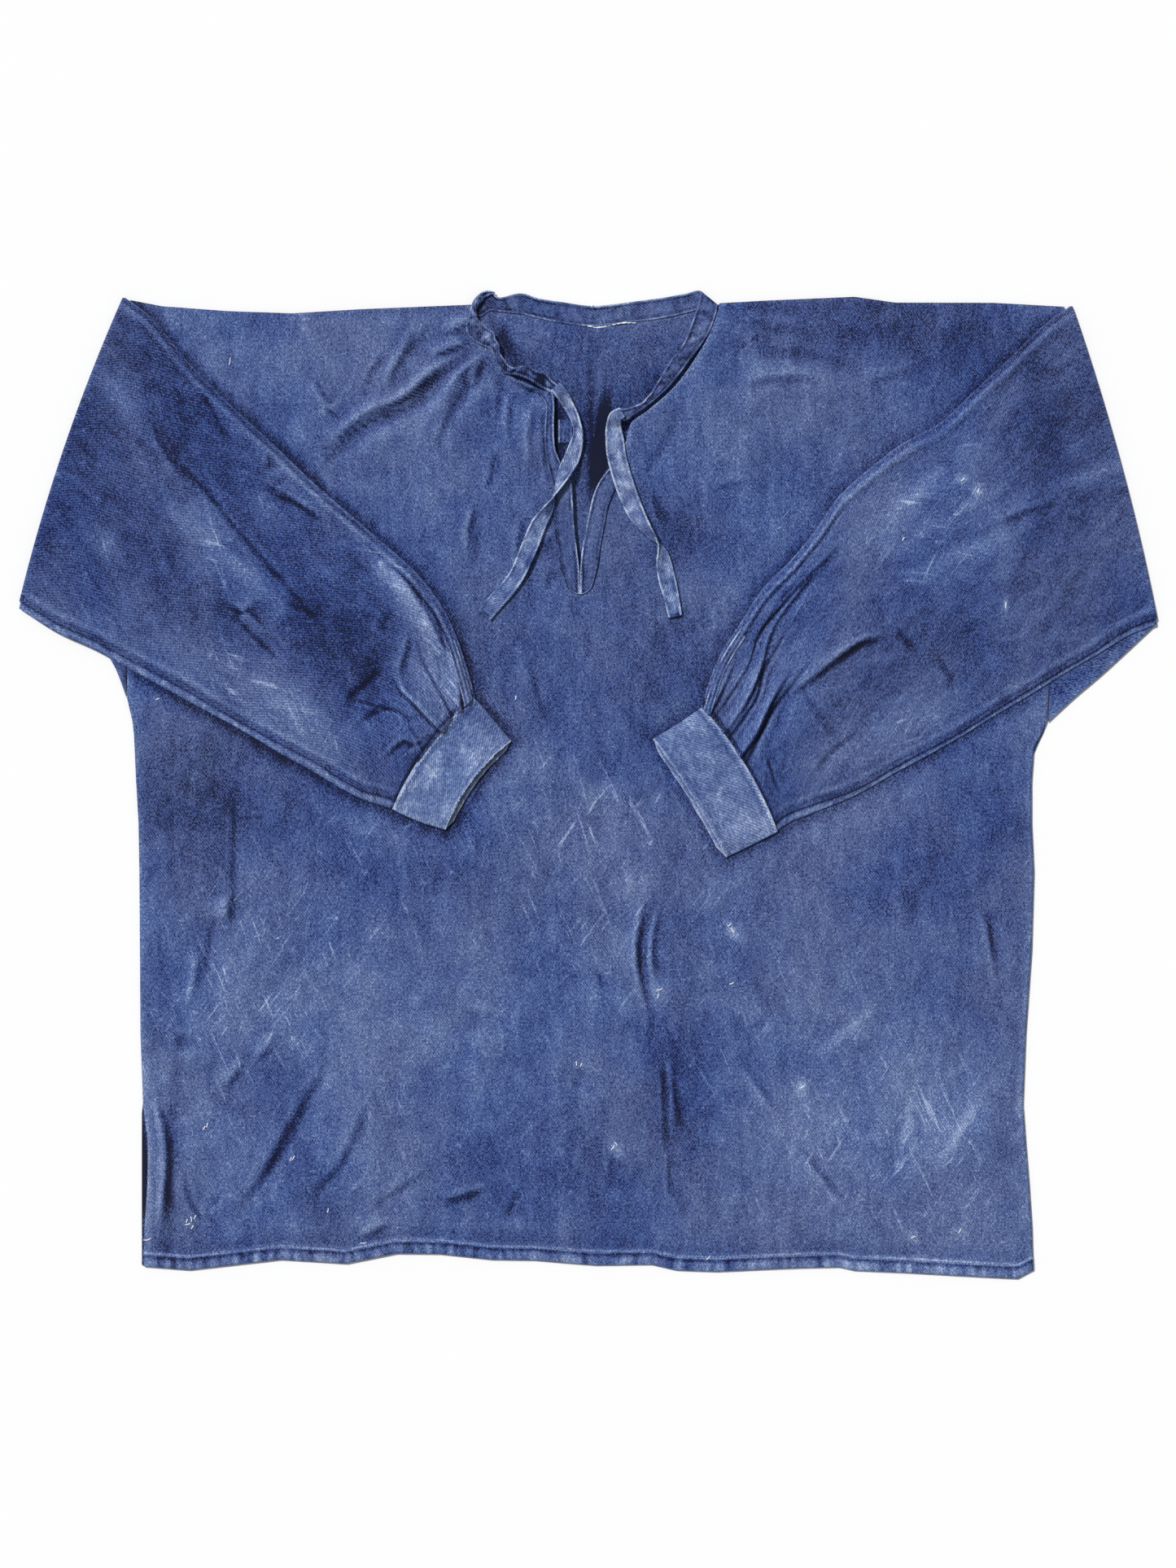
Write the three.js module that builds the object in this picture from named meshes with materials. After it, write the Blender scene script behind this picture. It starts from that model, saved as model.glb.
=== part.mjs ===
// Work smock of blue cotton twill, laid flat on its back panel with both sleeves folded over the front.
// Millimetres. X runs across the smock, Y from the hem towards the neck, Z up from what it lies on.
// The origin is under the middle of its outline. "Left" is the side towards -X.
import * as THREE from "three";

// Driving dimensions
const CLOTH = 1.2; // wall of one layer of cloth
const GAP = 0.3; // clearance at seams and between layers
const BAND_WALL = 1.6; // neckband, two plies
const TIE_WALL = 1.5; // tie, a folded tape
const HEM_WALL = 2.1; // hem, three plies
const HEM_DEPTH = 11;
const SHOULDER_LEVEL = 412; // Y of the shoulder line
const HEM_LEVEL = -412; // Y of the hem line
const SLIT_END = 171; // Y of the bottom of the front slit
const FACING_END = 163; // Y of the bottom of the facings below it
const SIDE_EASE = 26; // width over which the front's folds die away at its side seams
const SLEEVE_CLEAR = 26; // the front is flat under a folded sleeve and this far beyond it
const SLEEVE_EASE = 60; // its folds have their full height this far from the sleeve

// Heights of the layers, from the floor up
const FRONT_LOW = CLOTH + GAP;
const TUBE_MID = (2 * CLOTH + GAP) / 2; // middle of a flat sleeve that lies on the floor
const TURN_AXIS = 2 * CLOTH + 1.5 * GAP; // height of the line round which a sleeve is folded over

// Body outline: one row for each section, from the shoulder to the hem
const BODY = [
  { level: 412, left: -393.3, right: 409.3 },
  { level: 74, left: -396.1, right: 395.6 },
  { level: 54, left: -391.5, right: 394.4 },
  { level: 41, left: -390, right: 388.7 },
  { level: 31, left: -389.6, right: 383 },
  { level: 2, left: -388.3, right: 381 },
  { level: -33, left: -386.2, right: 381 },
  { level: -75, left: -385.5, right: 383 },
  { level: -143, left: -385, right: 381 },
  { level: -214, left: -384.6, right: 376 },
  { level: -275, left: -382.4, right: 373.6 },
  { level: -308, left: -378.2, right: 376 },
  { level: -342, left: -378.4, right: 378.9 },
  { level: -376, left: -381, right: 381.3 },
  { level: -412, left: -382, right: 382.4 },
];
const VENT_TOP = -277; // the left side is open from here down, and the back's edge shows beside the front's
const BACK_VENT_EDGE = -383.6;

// Shoulder line and hem line: how far each stands above its level
const SHOULDER = [
  { x: -393, rise: 3.8 },
  { x: -366, rise: -1.4 },
  { x: -310, rise: -5.6 },
  { x: -254, rise: -7.7 },
  { x: -198, rise: -4.2 },
  { x: -98, rise: 0 },
  { x: 113, rise: 0.6 },
  { x: 152, rise: 2.8 },
  { x: 229, rise: 6.3 },
  { x: 264, rise: 1.4 },
  { x: 348, rise: 1.4 },
  { x: 409, rise: -1.8 },
];
const HEM = [
  { x: -382, rise: -2.6 },
  { x: -343, rise: -5.6 },
  { x: -301, rise: -0.7 },
  { x: -265, rise: 3.5 },
  { x: -208, rise: 0 },
  { x: -165, rise: 8.8 },
  { x: -128, rise: 8.4 },
  { x: -83, rise: 3.5 },
  { x: -47, rise: 3 },
  { x: 6, rise: -1.4 },
  { x: 54, rise: -0.7 },
  { x: 75, rise: -5.6 },
  { x: 110, rise: -6.9 },
  { x: 166, rise: -4.2 },
  { x: 215, rise: -2.8 },
  { x: 228, rise: -5.8 },
  { x: 272, rise: -7.7 },
  { x: 334, rise: -11.2 },
  { x: 369, rise: -13 },
  { x: 382, rise: -6 },
];
const EDGE_REACH = 110; // how far the shoulder's and the hem's waves reach into the panel

// Neck and slit edge of the front, one row for each section on either side. `edge` is the front's own edge,
// `inset` a line beside it, which is the facing's outer edge along the slit.
// `freeX`, `freeY` are the neckband's free edge where the band is sewn on.
const LEFT_OPENING = [
  { level: 412, edge: -97.8, inset: -122, freeX: -85.2, freeY: 423.4 },
  { level: 400, edge: -101.3, inset: -126, freeX: -93.6, freeY: 411.3 },
  { level: 387.5, edge: -94.3, inset: -122, freeX: -90, freeY: 400 },
  { level: 379.8, edge: -83, inset: -112, freeX: -80.3, freeY: 389.6 },
  { level: 370.7, edge: -78.2, inset: -104, freeX: -74, freeY: 377.7 },
  { level: 360, edge: -74, inset: -97, freeX: -70.5, freeY: 367 },
  { level: 352.5, edge: -69, inset: -89, freeX: -65.6, freeY: 360 },
  { level: 345.5, edge: -58, inset: -77, freeX: -54.5, freeY: 358.6 },
  { level: 339.5, edge: -44, inset: -62, freeX: -40.5, freeY: 353 },
  { level: 336.5, edge: -30, inset: -44, freeX: -27.5, freeY: 345 },
  { level: 325, edge: -28.8, inset: -36.8 },
  { level: 306, edge: -29.2, inset: -37.6 },
  { level: 288, edge: -28, inset: -37.4 },
  { level: 273, edge: -22, inset: -35.2 },
  { level: 258, edge: -14.2, inset: -31.4 },
  { level: 242, edge: -13, inset: -29.8 },
  { level: 224, edge: -12, inset: -29.2 },
  { level: 206, edge: -10, inset: -27 },
  { level: 188, edge: -7.8, inset: -21.5 },
  { level: SLIT_END, edge: -6.8, inset: -14 },
];
const RIGHT_OPENING = [
  { level: 412.6, edge: 113, inset: 150, freeX: 97.6, freeY: 423.9 },
  { level: 398.7, edge: 109.4, inset: 139.5, freeX: 94, freeY: 408.5 },
  { level: 383.3, edge: 103, inset: 126, freeX: 88.4, freeY: 390.3 },
  { level: 367.9, edge: 94, inset: 111, freeX: 80, freeY: 369 },
  { level: 352.5, edge: 83.5, inset: 93.5, freeX: 68, freeY: 357 },
  { level: 339, edge: 72.3, inset: 80.5, freeX: 56.2, freeY: 342.5 },
  { level: 329.4, edge: 61.8, inset: 70, freeX: 49.2, freeY: 330.5 },
  { level: 319.6, edge: 49.9, inset: 58, freeX: 38.7, freeY: 324 },
  { level: 311.9, edge: 38.7, inset: 49, freeX: 26, freeY: 321.5 },
  { level: 305, edge: 35, inset: 46 },
  { level: 296, edge: 33, inset: 44 },
  { level: 286, edge: 29, inset: 41 },
  { level: 275.5, edge: 22.5, inset: 36 },
  { level: 263, edge: 12, inset: 29 },
  { level: 250, edge: 5.2, inset: 22.5 },
  { level: 235, edge: 1.2, inset: 17 },
  { level: 219, edge: -2, inset: 14 },
  { level: 203, edge: -5, inset: 11 },
  { level: 187, edge: -6.5, inset: 7 },
  { level: SLIT_END, edge: -6.8, inset: 0.4 },
];
const LEFT_FACING_TOP = 9; // row of the opening where the left facing starts
const RIGHT_FACING_TOP = 12;

// Back neckline: seam with the band, and the band's top edge
const BACK_NECK = [
  { x: -84, seam: 406.4, top: 423.3 },
  { x: -76, seam: 405.6, top: 418.3 },
  { x: -58, seam: 403.6, top: 421.8 },
  { x: -42, seam: 400, top: 417.4 },
  { x: -23, seam: 395.9, top: 414.4 },
  { x: 5, seam: 393, top: 411 },
  { x: 40, seam: 396.9, top: 414.8 },
  { x: 68, seam: 400.8, top: 418.6 },
  { x: 85, seam: 404.8, top: 422 },
  { x: 95, seam: 407.6, top: 424.2 },
];

// Soft fullness of the cloth: rounded swells, each with its middle, its reach and its height
const FRONT_SWELLS = [
  { x: -140, y: 330, reachX: 95, reachY: 75, height: 4 },
  { x: 150, y: 350, reachX: 110, reachY: 60, height: 3.6 },
  { x: -10, y: 250, reachX: 75, reachY: 80, height: 2.6 },
  { x: 20, y: 30, reachX: 190, reachY: 130, height: 1.8 },
  { x: -250, y: -120, reachX: 110, reachY: 130, height: 2.4 },
  { x: 60, y: -200, reachX: 120, reachY: 120, height: 2.6 },
  { x: 250, y: -220, reachX: 120, reachY: 130, height: 1.8 },
  { x: -180, y: -330, reachX: 130, reachY: 60, height: 3 },
  { x: 230, y: -370, reachX: 130, reachY: 40, height: 1.6 },
];
// Folds: soft ridges, or troughs where the height is below zero, from one end to the other,
// with how far the middle bows to the left of that direction
const FRONT_FOLDS = [
  { x0: -98, y0: 372, x1: -228, y1: 286, bow: 6, width: 12, height: 4.2 },
  { x0: -103, y0: 360, x1: -236, y1: 262, bow: 8, width: 10, height: -2.6 },
  { x0: -96, y0: 362, x1: -128, y1: 288, bow: -4, width: 9, height: 3.4 },
  { x0: -80, y0: 358, x1: -88, y1: 244, bow: 4, width: 8, height: 3 },
  { x0: -140, y0: 398, x1: -180, y1: 334, bow: 3, width: 10, height: 3.2 },
  { x0: -66, y0: 343, x1: -32, y1: 333, bow: 0, width: 7, height: 2.6 },
  { x0: 136, y0: 402, x1: 80, y1: 344, bow: -5, width: 9, height: 3.6 },
  { x0: 140, y0: 384, x1: 272, y1: 356, bow: -8, width: 12, height: -3 },
  { x0: 28, y0: 240, x1: 14, y1: 200, bow: 3, width: 8, height: 3.2 },
  { x0: 54, y0: -84, x1: 51, y1: -238, bow: 7, width: 7, height: 4 },
  { x0: 63, y0: -250, x1: 80, y1: -312, bow: 3, width: 9, height: 3 },
  { x0: -303, y0: -64, x1: -306, y1: -150, bow: 3, width: 10, height: 3.4 },
  { x0: -318, y0: -122, x1: -334, y1: -190, bow: -3, width: 9, height: -3 },
  { x0: -225, y0: -212, x1: -229, y1: -252, bow: 0, width: 12, height: 2.4 },
  { x0: -356, y0: -232, x1: -354, y1: -384, bow: -6, width: 9, height: 4.6 },
  { x0: -260, y0: -306, x1: -298, y1: -362, bow: -4, width: 10, height: 3.2 },
  { x0: -202, y0: -384, x1: -166, y1: -370, bow: 3, width: 9, height: 3 },
  { x0: -126, y0: -362, x1: -52, y1: -340, bow: 4, width: 11, height: 2.8 },
  { x0: 334, y0: -98, x1: 350, y1: -186, bow: 4, width: 9, height: 3.4 },
];

// Sleeves: rings from the armhole to the cuff seam. `a` is the end on the shoulder side, `b` the end on the
// underarm side. The `root` rings lie on the floor, the first `over` ring is the line of the fold.
const SLEEVE_LEFT = {
  hand: 1,
  root: [
    { ax: -393.8, ay: 410, bx: -396.6, by: 74, bow: 0 },
    { ax: -394.9, ay: 412.4, bx: -412.8, by: 110.3, bow: -1 },
    { ax: -396, ay: 414.9, bx: -447, by: 130, bow: -3 },
  ],
  over: [
    { ax: -397, ay: 417.4, bx: -487.4, by: 150, bow: -6.5 },
    { ax: -372.9, ay: 398.7, bx: -456.9, by: 130.6, bow: -7 },
    { ax: -341.4, ay: 360.5, bx: -423.3, by: 115.2, bow: -7 },
    { ax: -306.4, ay: 325.2, bx: -391.8, by: 97.7, bow: -7 },
    { ax: -271.4, ay: 293, bx: -358.9, by: 79.5, bow: -7 },
    { ax: -236.4, ay: 259.6, bx: -326.7, by: 62, bow: -7 },
    { ax: -204.9, ay: 232.1, bx: -295.9, by: 45.2, bow: -7 },
    { ax: -175.5, ay: 206.9, bx: -265.8, by: 27, bow: -7 },
    { ax: -147.5, ay: 181.7, bx: -237.8, by: 11.6, bow: -7 },
    { ax: -125.8, ay: 153.7, bx: -213.3, by: -3.2, bow: -7 },
    { ax: -112.5, ay: 126.4, bx: -194.4, by: -13, bow: -7 },
    { ax: -103.4, ay: 99, bx: -179.7, by: -17.9, bow: -7 },
    { ax: -96.4, ay: 73.9, bx: -167, by: -22, bow: -7 },
  ],
  cuff: [
    { ax: -95.8, ay: 72.6, bx: -166, by: -23.4, bow: -7 },
    { ax: -80, ay: 54, bx: -144, by: -33, bow: -7 },
    { ax: -65.6, ay: 36.8, bx: -122.3, by: -39.6, bow: -6.5 },
  ],
  swells: [
    { x: -330, y: 250, reachX: 70, reachY: 90, height: 4 },
    { x: -230, y: 150, reachX: 60, reachY: 60, height: 5 },
    { x: -150, y: 60, reachX: 45, reachY: 40, height: 4 },
  ],
  folds: [
    { x0: -376, y0: 330, x1: -322, y1: 240, bow: 5, width: 12, height: -3.4 },
    { x0: -338, y0: 338, x1: -306, y1: 290, bow: 3, width: 9, height: 3 },
    { x0: -312, y0: 230, x1: -258, y1: 168, bow: -4, width: 11, height: 3.4 },
    { x0: -312, y0: 148, x1: -272, y1: 112, bow: 3, width: 10, height: -2.6 },
    { x0: -168, y0: 142, x1: -204, y1: 62, bow: -6, width: 12, height: -5 },
    { x0: -163, y0: 86, x1: -127, y1: 44, bow: 2, width: 6, height: 3 },
    { x0: -140, y0: 128, x1: -124, y1: 84, bow: 2, width: 6, height: 2.6 },
    { x0: -124, y0: 134, x1: -113, y1: 68, bow: -2, width: 5, height: 2.4 },
  ],
};
const SLEEVE_RIGHT = {
  hand: -1,
  root: [
    { ax: 409.9, ay: 406.5, bx: 395.6, by: 53.5, bow: 0 },
    { ax: 411, ay: 407.6, bx: 418.3, by: 74.5, bow: -1 },
    { ax: 412.2, ay: 408.8, bx: 444.7, by: 97, bow: -3 },
  ],
  over: [
    { ax: 413.5, ay: 410.2, bx: 487.3, by: 136.5, bow: -5 },
    { ax: 390.1, ay: 393.1, bx: 463.6, by: 127, bow: -5.5 },
    { ax: 362.1, ay: 365.8, bx: 436.3, by: 110.3, bow: -6 },
    { ax: 332.7, ay: 338.5, bx: 408.3, by: 94.2, bow: -6 },
    { ax: 302.6, ay: 310.5, bx: 380.3, by: 76.7, bow: -6 },
    { ax: 269.7, ay: 292.3, bx: 351.6, by: 59.9, bow: -6 },
    { ax: 240.3, ay: 269.9, bx: 322.2, by: 41.7, bow: -6 },
    { ax: 215.1, ay: 246.8, bx: 292.8, by: 24.9, bow: -6 },
    { ax: 196.2, ay: 219.5, bx: 264.1, by: 9.5, bow: -6 },
    { ax: 174.5, ay: 192.9, bx: 234.7, by: -7.4, bow: -6 },
    { ax: 150, ay: 167.7, bx: 209.5, by: -18.6, bow: -6 },
    { ax: 129.7, ay: 136.9, bx: 188.5, by: -27, bow: -6 },
    { ax: 110.8, ay: 106, bx: 173.1, by: -33.3, bow: -6 },
    { ax: 96.8, ay: 66, bx: 161.9, by: -41, bow: -6 },
  ],
  cuff: [
    { ax: 95.6, ay: 64.6, bx: 160.8, by: -42.4, bow: -6 },
    { ax: 76, ay: 51, bx: 140, by: -53, bow: -4.5 },
    { ax: 55.5, ay: 38.9, bx: 118.5, by: -63.4, bow: -3 },
  ],
  swells: [
    { x: 370, y: 240, reachX: 70, reachY: 90, height: 3.6 },
    { x: 270, y: 150, reachX: 60, reachY: 70, height: 4.6 },
    { x: 180, y: 60, reachX: 45, reachY: 45, height: 3.6 },
  ],
  folds: [
    { x0: 112, y0: 56, x1: 164, y1: 144, bow: -6, width: 6, height: 3.4 },
    { x0: 124, y0: 36, x1: 172, y1: 124, bow: -6, width: 6, height: 3.4 },
    { x0: 136, y0: 12, x1: 238, y1: 132, bow: -9, width: 8, height: 4 },
    { x0: 262, y0: 140, x1: 292, y1: 128, bow: 3, width: 12, height: -2.8 },
    { x0: 306, y0: 104, x1: 316, y1: 78, bow: 2, width: 12, height: -2.6 },
    { x0: 330, y0: 300, x1: 352, y1: 210, bow: 6, width: 14, height: 2.6 },
  ],
};
const SHOWN_STEPS = 14; // steps across the layer of a sleeve that shows
const HIDDEN_STEPS = 6; // steps across the layer below it
const TURNS = [45, 90, 135]; // degrees round the fold

// Ties: the way each tape lies from the band's end, and how far it has turned over about its own length
const TIE_LEFT = [
  { x: -25.6, y: 334.5, width: 12, turn: 35 },
  { x: -18.3, y: 323.5, width: 13, turn: 35 },
  { x: -11.2, y: 312.5, width: 13, turn: 40 },
  { x: -8, y: 303, width: 13, turn: 35 },
  { x: -9, y: 292, width: 14, turn: 15 },
  { x: -12.5, y: 281, width: 14, turn: 0 },
  { x: -18.5, y: 269, width: 14, turn: 30 },
  { x: -24, y: 256, width: 13, turn: 62 },
  { x: -27.6, y: 244.5, width: 12, turn: 90 },
  { x: -32, y: 235, width: 13, turn: 125 },
  { x: -39.5, y: 223.5, width: 14, turn: 165 },
  { x: -46.5, y: 210, width: 14, turn: 180 },
  { x: -52, y: 196, width: 14, turn: 180 },
  { x: -58, y: 184, width: 14, turn: 180 },
  { x: -65, y: 174, width: 14, turn: 180 },
  { x: -77, y: 161, width: 14, turn: 180 },
  { x: -88.6, y: 144.8, width: 14, turn: 180 },
];
const TIE_RIGHT = [
  { x: 23.8, y: 313, width: 14, turn: 12 },
  { x: 23.2, y: 300, width: 16, turn: 0 },
  { x: 23.4, y: 286, width: 16, turn: 0 },
  { x: 26.8, y: 270.5, width: 16, turn: 0 },
  { x: 31.6, y: 254.5, width: 16, turn: 0 },
  { x: 37.3, y: 240.5, width: 16, turn: 8 },
  { x: 43.6, y: 228, width: 16, turn: 28 },
  { x: 51.3, y: 218, width: 15, turn: 55 },
  { x: 58.6, y: 208.5, width: 13, turn: 82 },
  { x: 62, y: 199.5, width: 13, turn: 125 },
  { x: 64, y: 190, width: 14, turn: 165 },
  { x: 66.6, y: 178, width: 14, turn: 180 },
  { x: 69.6, y: 167, width: 14, turn: 180 },
  { x: 72.6, y: 155, width: 13, turn: 190 },
  { x: 74.8, y: 143.8, width: 12, turn: 195 },
];
const TIE_CLEAR = 0.6; // between a tie and the highest cloth under it
const TWIST_RISE = 0.45; // share of its width by which a tie on edge stands up

// Colours of the cloth
const twill = new THREE.MeshStandardMaterial({ color: 0x465a93, roughness: 0.92, metalness: 0 });
const wornTwill = new THREE.MeshStandardMaterial({ color: 0x5f76a4, roughness: 0.92, metalness: 0 });

const smock = new THREE.Group();

function ease(from, to, at) {
  return THREE.MathUtils.smoothstep(at, from, to);
}

// Value of a column of a table at a place, on straight lines between its rows
function lookUp(rows, key, at, column) {
  const rising = rows[rows.length - 1][key] > rows[0][key];
  for (let i = 1; i < rows.length; i++) {
    const reached = rising ? at <= rows[i][key] : at >= rows[i][key];
    if (reached || i === rows.length - 1) {
      const share = (at - rows[i - 1][key]) / (rows[i][key] - rows[i - 1][key]);
      const held = THREE.MathUtils.clamp(share, 0, 1);
      return THREE.MathUtils.lerp(rows[i - 1][column], rows[i][column], held);
    }
  }
  return 0;
}

// Height of the swells and folds of a table at a point
function reliefAt(swells, folds, x, y) {
  let height = 0;
  for (const s of swells) {
    height += s.height * Math.exp(-(((x - s.x) / s.reachX) ** 2) - ((y - s.y) / s.reachY) ** 2);
  }
  for (const f of folds) {
    const length = Math.hypot(f.x1 - f.x0, f.y1 - f.y0);
    const dx = (f.x1 - f.x0) / length;
    const dy = (f.y1 - f.y0) / length;
    const along = ((x - f.x0) * dx + (y - f.y0) * dy) / length;
    const bowed = f.bow * 4 * Math.max(0, along * (1 - along));
    const across = (y - f.y0) * dx - (x - f.x0) * dy - bowed;
    const ends = ease(-0.1, 0.22, along) * (1 - ease(0.7, 1.15, along));
    height += f.height * ends * Math.exp(-((across / f.width) ** 2));
  }
  return Math.max(0, height);
}

// A closed wall whose two faces are copies of one surface. The faces' edges are joined all round.
function wallGeometry(over, under, triangles) {
  const position = [];
  const put = (...corners) => corners.forEach((p) => position.push(p.x, p.y, p.z));
  const open = new Set();
  for (const [a, b, c] of triangles) {
    put(over[a], over[b], over[c]);
    put(under[a], under[c], under[b]);
    for (const [from, to] of [[a, b], [b, c], [c, a]]) {
      if (!open.delete(to + "_" + from)) open.add(from + "_" + to);
    }
  }
  for (const edge of open) {
    const [from, to] = edge.split("_").map(Number);
    put(over[to], over[from], under[from]);
    put(over[to], under[from], under[to]);
  }
  const geometry = new THREE.BufferGeometry();
  geometry.setAttribute("position", new THREE.Float32BufferAttribute(position, 3));
  geometry.computeVertexNormals();
  return geometry;
}

// Triangles of a grid of rows, each with `across` points; a closed grid joins its last column to its first
function gridTriangles(rows, across, closed, turned) {
  const triangles = [];
  for (let i = 0; i + 1 < rows; i++) {
    for (let j = 0; j < (closed ? across : across - 1); j++) {
      const a = i * across + j;
      const b = i * across + ((j + 1) % across);
      const quad = turned ? [a, b, b + across, a + across] : [a, a + across, b + across, b];
      triangles.push([quad[0], quad[1], quad[2]], [quad[0], quad[2], quad[3]]);
    }
  }
  return triangles;
}

function addPiece(name, geometry, material) {
  const mesh = new THREE.Mesh(geometry, material);
  mesh.name = name;
  smock.add(mesh);
}

// Plan of each folded sleeve with its cuff, to keep the front flat beneath it
function sleevePlan(sleeve) {
  const rings = [...sleeve.over, ...sleeve.cuff];
  const shoulderSide = rings.map((r) => new THREE.Vector2(r.ax, r.ay));
  const underarmSide = rings.map((r) => new THREE.Vector2(r.bx, r.by)).reverse();
  return [...shoulderSide, ...underarmSide];
}
const sleevePlans = [sleevePlan(SLEEVE_LEFT), sleevePlan(SLEEVE_RIGHT)];

// Distance from a point to a plan outline, zero inside it
function distanceOutside(plan, x, y) {
  let inside = false;
  let nearest = Infinity;
  plan.forEach((p, i) => {
    const q = plan[(i + 1) % plan.length];
    if (p.y > y !== q.y > y && x < p.x + ((y - p.y) / (q.y - p.y)) * (q.x - p.x)) inside = !inside;
    const side = q.clone().sub(p);
    const share = ((x - p.x) * side.x + (y - p.y) * side.y) / side.lengthSq();
    const held = THREE.MathUtils.clamp(share, 0, 1);
    nearest = Math.min(nearest, Math.hypot(x - p.x - held * side.x, y - p.y - held * side.y));
  });
  return inside ? 0 : nearest;
}

// Height of the front panel's lower face
function frontHeight(x, y) {
  const left = lookUp(BODY, "level", y, "left");
  const right = lookUp(BODY, "level", y, "right");
  let free = ease(0, SIDE_EASE, x - left) * ease(0, SIDE_EASE, right - x);
  free *= 0.15 + 0.85 * ease(0, 40, y - HEM_LEVEL);
  free *= ease(0, 22, SHOULDER_LEVEL + 4 - y);
  for (const plan of sleevePlans) free *= ease(SLEEVE_CLEAR, SLEEVE_EASE, distanceOutside(plan, x, y));
  return FRONT_LOW + free * reliefAt(FRONT_SWELLS, FRONT_FOLDS, x, y);
}

// Y of a point of a panel, with the shoulder's and the hem's waves
function waved(x, level) {
  const nearShoulder = 1 - ease(0, EDGE_REACH, SHOULDER_LEVEL - level);
  const nearHem = 1 - ease(0, EDGE_REACH, level - HEM_LEVEL);
  return (
    level + nearShoulder * lookUp(SHOULDER, "x", x, "rise") + nearHem * lookUp(HEM, "x", x, "rise")
  );
}

// Front panel: rows from the shoulder down, in two halves parted by the neck and the slit
const PANEL_STEPS = 11; // steps from a side seam to the line beside the opening
const FACING_STEPS = 2; // steps from there to the edge of the opening
const LOWER_ROWS = 20; // rows from the facings' end down to the hem

function halfRow(side, sideLevel, insetX, edgeX, level) {
  const sideX = lookUp(BODY, "level", sideLevel, side);
  const row = [];
  for (let i = 0; i <= PANEL_STEPS; i++) {
    const share = i / PANEL_STEPS;
    const x = THREE.MathUtils.lerp(sideX, insetX, share);
    row.push([x, THREE.MathUtils.lerp(sideLevel, level, share)]);
  }
  for (let i = 1; i <= FACING_STEPS; i++) {
    row.push([THREE.MathUtils.lerp(insetX, edgeX, i / FACING_STEPS), level]);
  }
  return row.map(([x, y]) => [x, waved(x, y)]);
}

const lastOpen = LEFT_OPENING.length - 1;
const facingBottom = { edge: -6.8, left: -9.5, right: -4 };
const hemTop = HEM_LEVEL + HEM_DEPTH;
const lowerLevels = [FACING_END];
for (let i = 1; i <= LOWER_ROWS; i++) {
  lowerLevels.push(THREE.MathUtils.lerp(FACING_END, hemTop + 1.5, i / LOWER_ROWS));
}
lowerLevels.push(hemTop, HEM_LEVEL);

function frontRows(side, opening) {
  const rows = opening.map((cut, i) => {
    const sideLevel = THREE.MathUtils.lerp(SHOULDER_LEVEL, SLIT_END, i / lastOpen);
    return halfRow(side, sideLevel, cut.inset, cut.edge, cut.level);
  });
  lowerLevels.forEach((level) => {
    const inset = level === FACING_END ? facingBottom[side] : side === "left" ? -38 : 24;
    rows.push(halfRow(side, level, inset, facingBottom.edge, level));
  });
  return rows;
}
const leftRows = frontRows("left", LEFT_OPENING);
const rightRows = frontRows("right", RIGHT_OPENING);

const across = PANEL_STEPS + FACING_STEPS + 1;
const frontUnder = [];
const frontOver = [];
for (const rows of [leftRows, rightRows]) {
  rows.forEach((row, i) => {
    const wall = i >= rows.length - 2 ? HEM_WALL : CLOTH;
    for (const [x, y] of row) {
      const low = frontHeight(x, y);
      frontUnder.push(new THREE.Vector3(x, y, low));
      frontOver.push(new THREE.Vector3(x, y, low + wall));
    }
  });
}
// Below the slit both halves share their last column
const halfSize = leftRows.length * across;
const shared = (index) => {
  const row = Math.floor((index - halfSize) / across);
  const inRightHalf = index >= halfSize;
  const lastColumn = (index + 1) % across === 0;
  return inRightHalf && lastColumn && row >= lastOpen ? index - halfSize : index;
};
const frontTriangles = [
  ...gridTriangles(leftRows.length, across, false, false),
  ...gridTriangles(rightRows.length, across, false, true).map((t) => t.map((n) => shared(n + halfSize))),
];
addPiece("front", wallGeometry(frontOver, frontUnder, frontTriangles), twill);

// Facings: made from the front's own points beside the slit, moved out by the gap
function addFacing(name, rows, firstIndex, top, bottom, turned) {
  const under = [];
  for (let i = top; i <= bottom; i++) {
    for (let j = PANEL_STEPS; j < across; j++) {
      const below = frontOver[firstIndex + i * across + j];
      under.push(below.clone().setZ(below.z + GAP));
    }
  }
  const over = under.map((p) => p.clone().setZ(p.z + CLOTH));
  const triangles = gridTriangles(bottom - top + 1, FACING_STEPS + 1, false, turned);
  addPiece(name, wallGeometry(over, under, triangles), wornTwill);
}
addFacing("facing_left", leftRows, 0, LEFT_FACING_TOP, lastOpen + 1, false);
addFacing("facing_right", rightRows, halfSize, RIGHT_FACING_TOP, lastOpen - 1, true);

// Short end of the left facing, which lies on the back panel inside the slit
const FACING_TAB = { x: -19.5, y: 303, width: 12, length: 20 };
const tabCorners = [
  [-1, 1],
  [-1, -1],
  [1, 1],
  [1, -1],
].map(([u, v]) => {
  const x = FACING_TAB.x + (u * FACING_TAB.width) / 2;
  return new THREE.Vector3(x, FACING_TAB.y + (v * FACING_TAB.length) / 2, CLOTH + GAP);
});
const tabTop = tabCorners.map((p) => p.clone().setZ(p.z + CLOTH));
addPiece("facing_end", wallGeometry(tabTop, tabCorners, gridTriangles(2, 2, false, true)), wornTwill);

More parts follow.
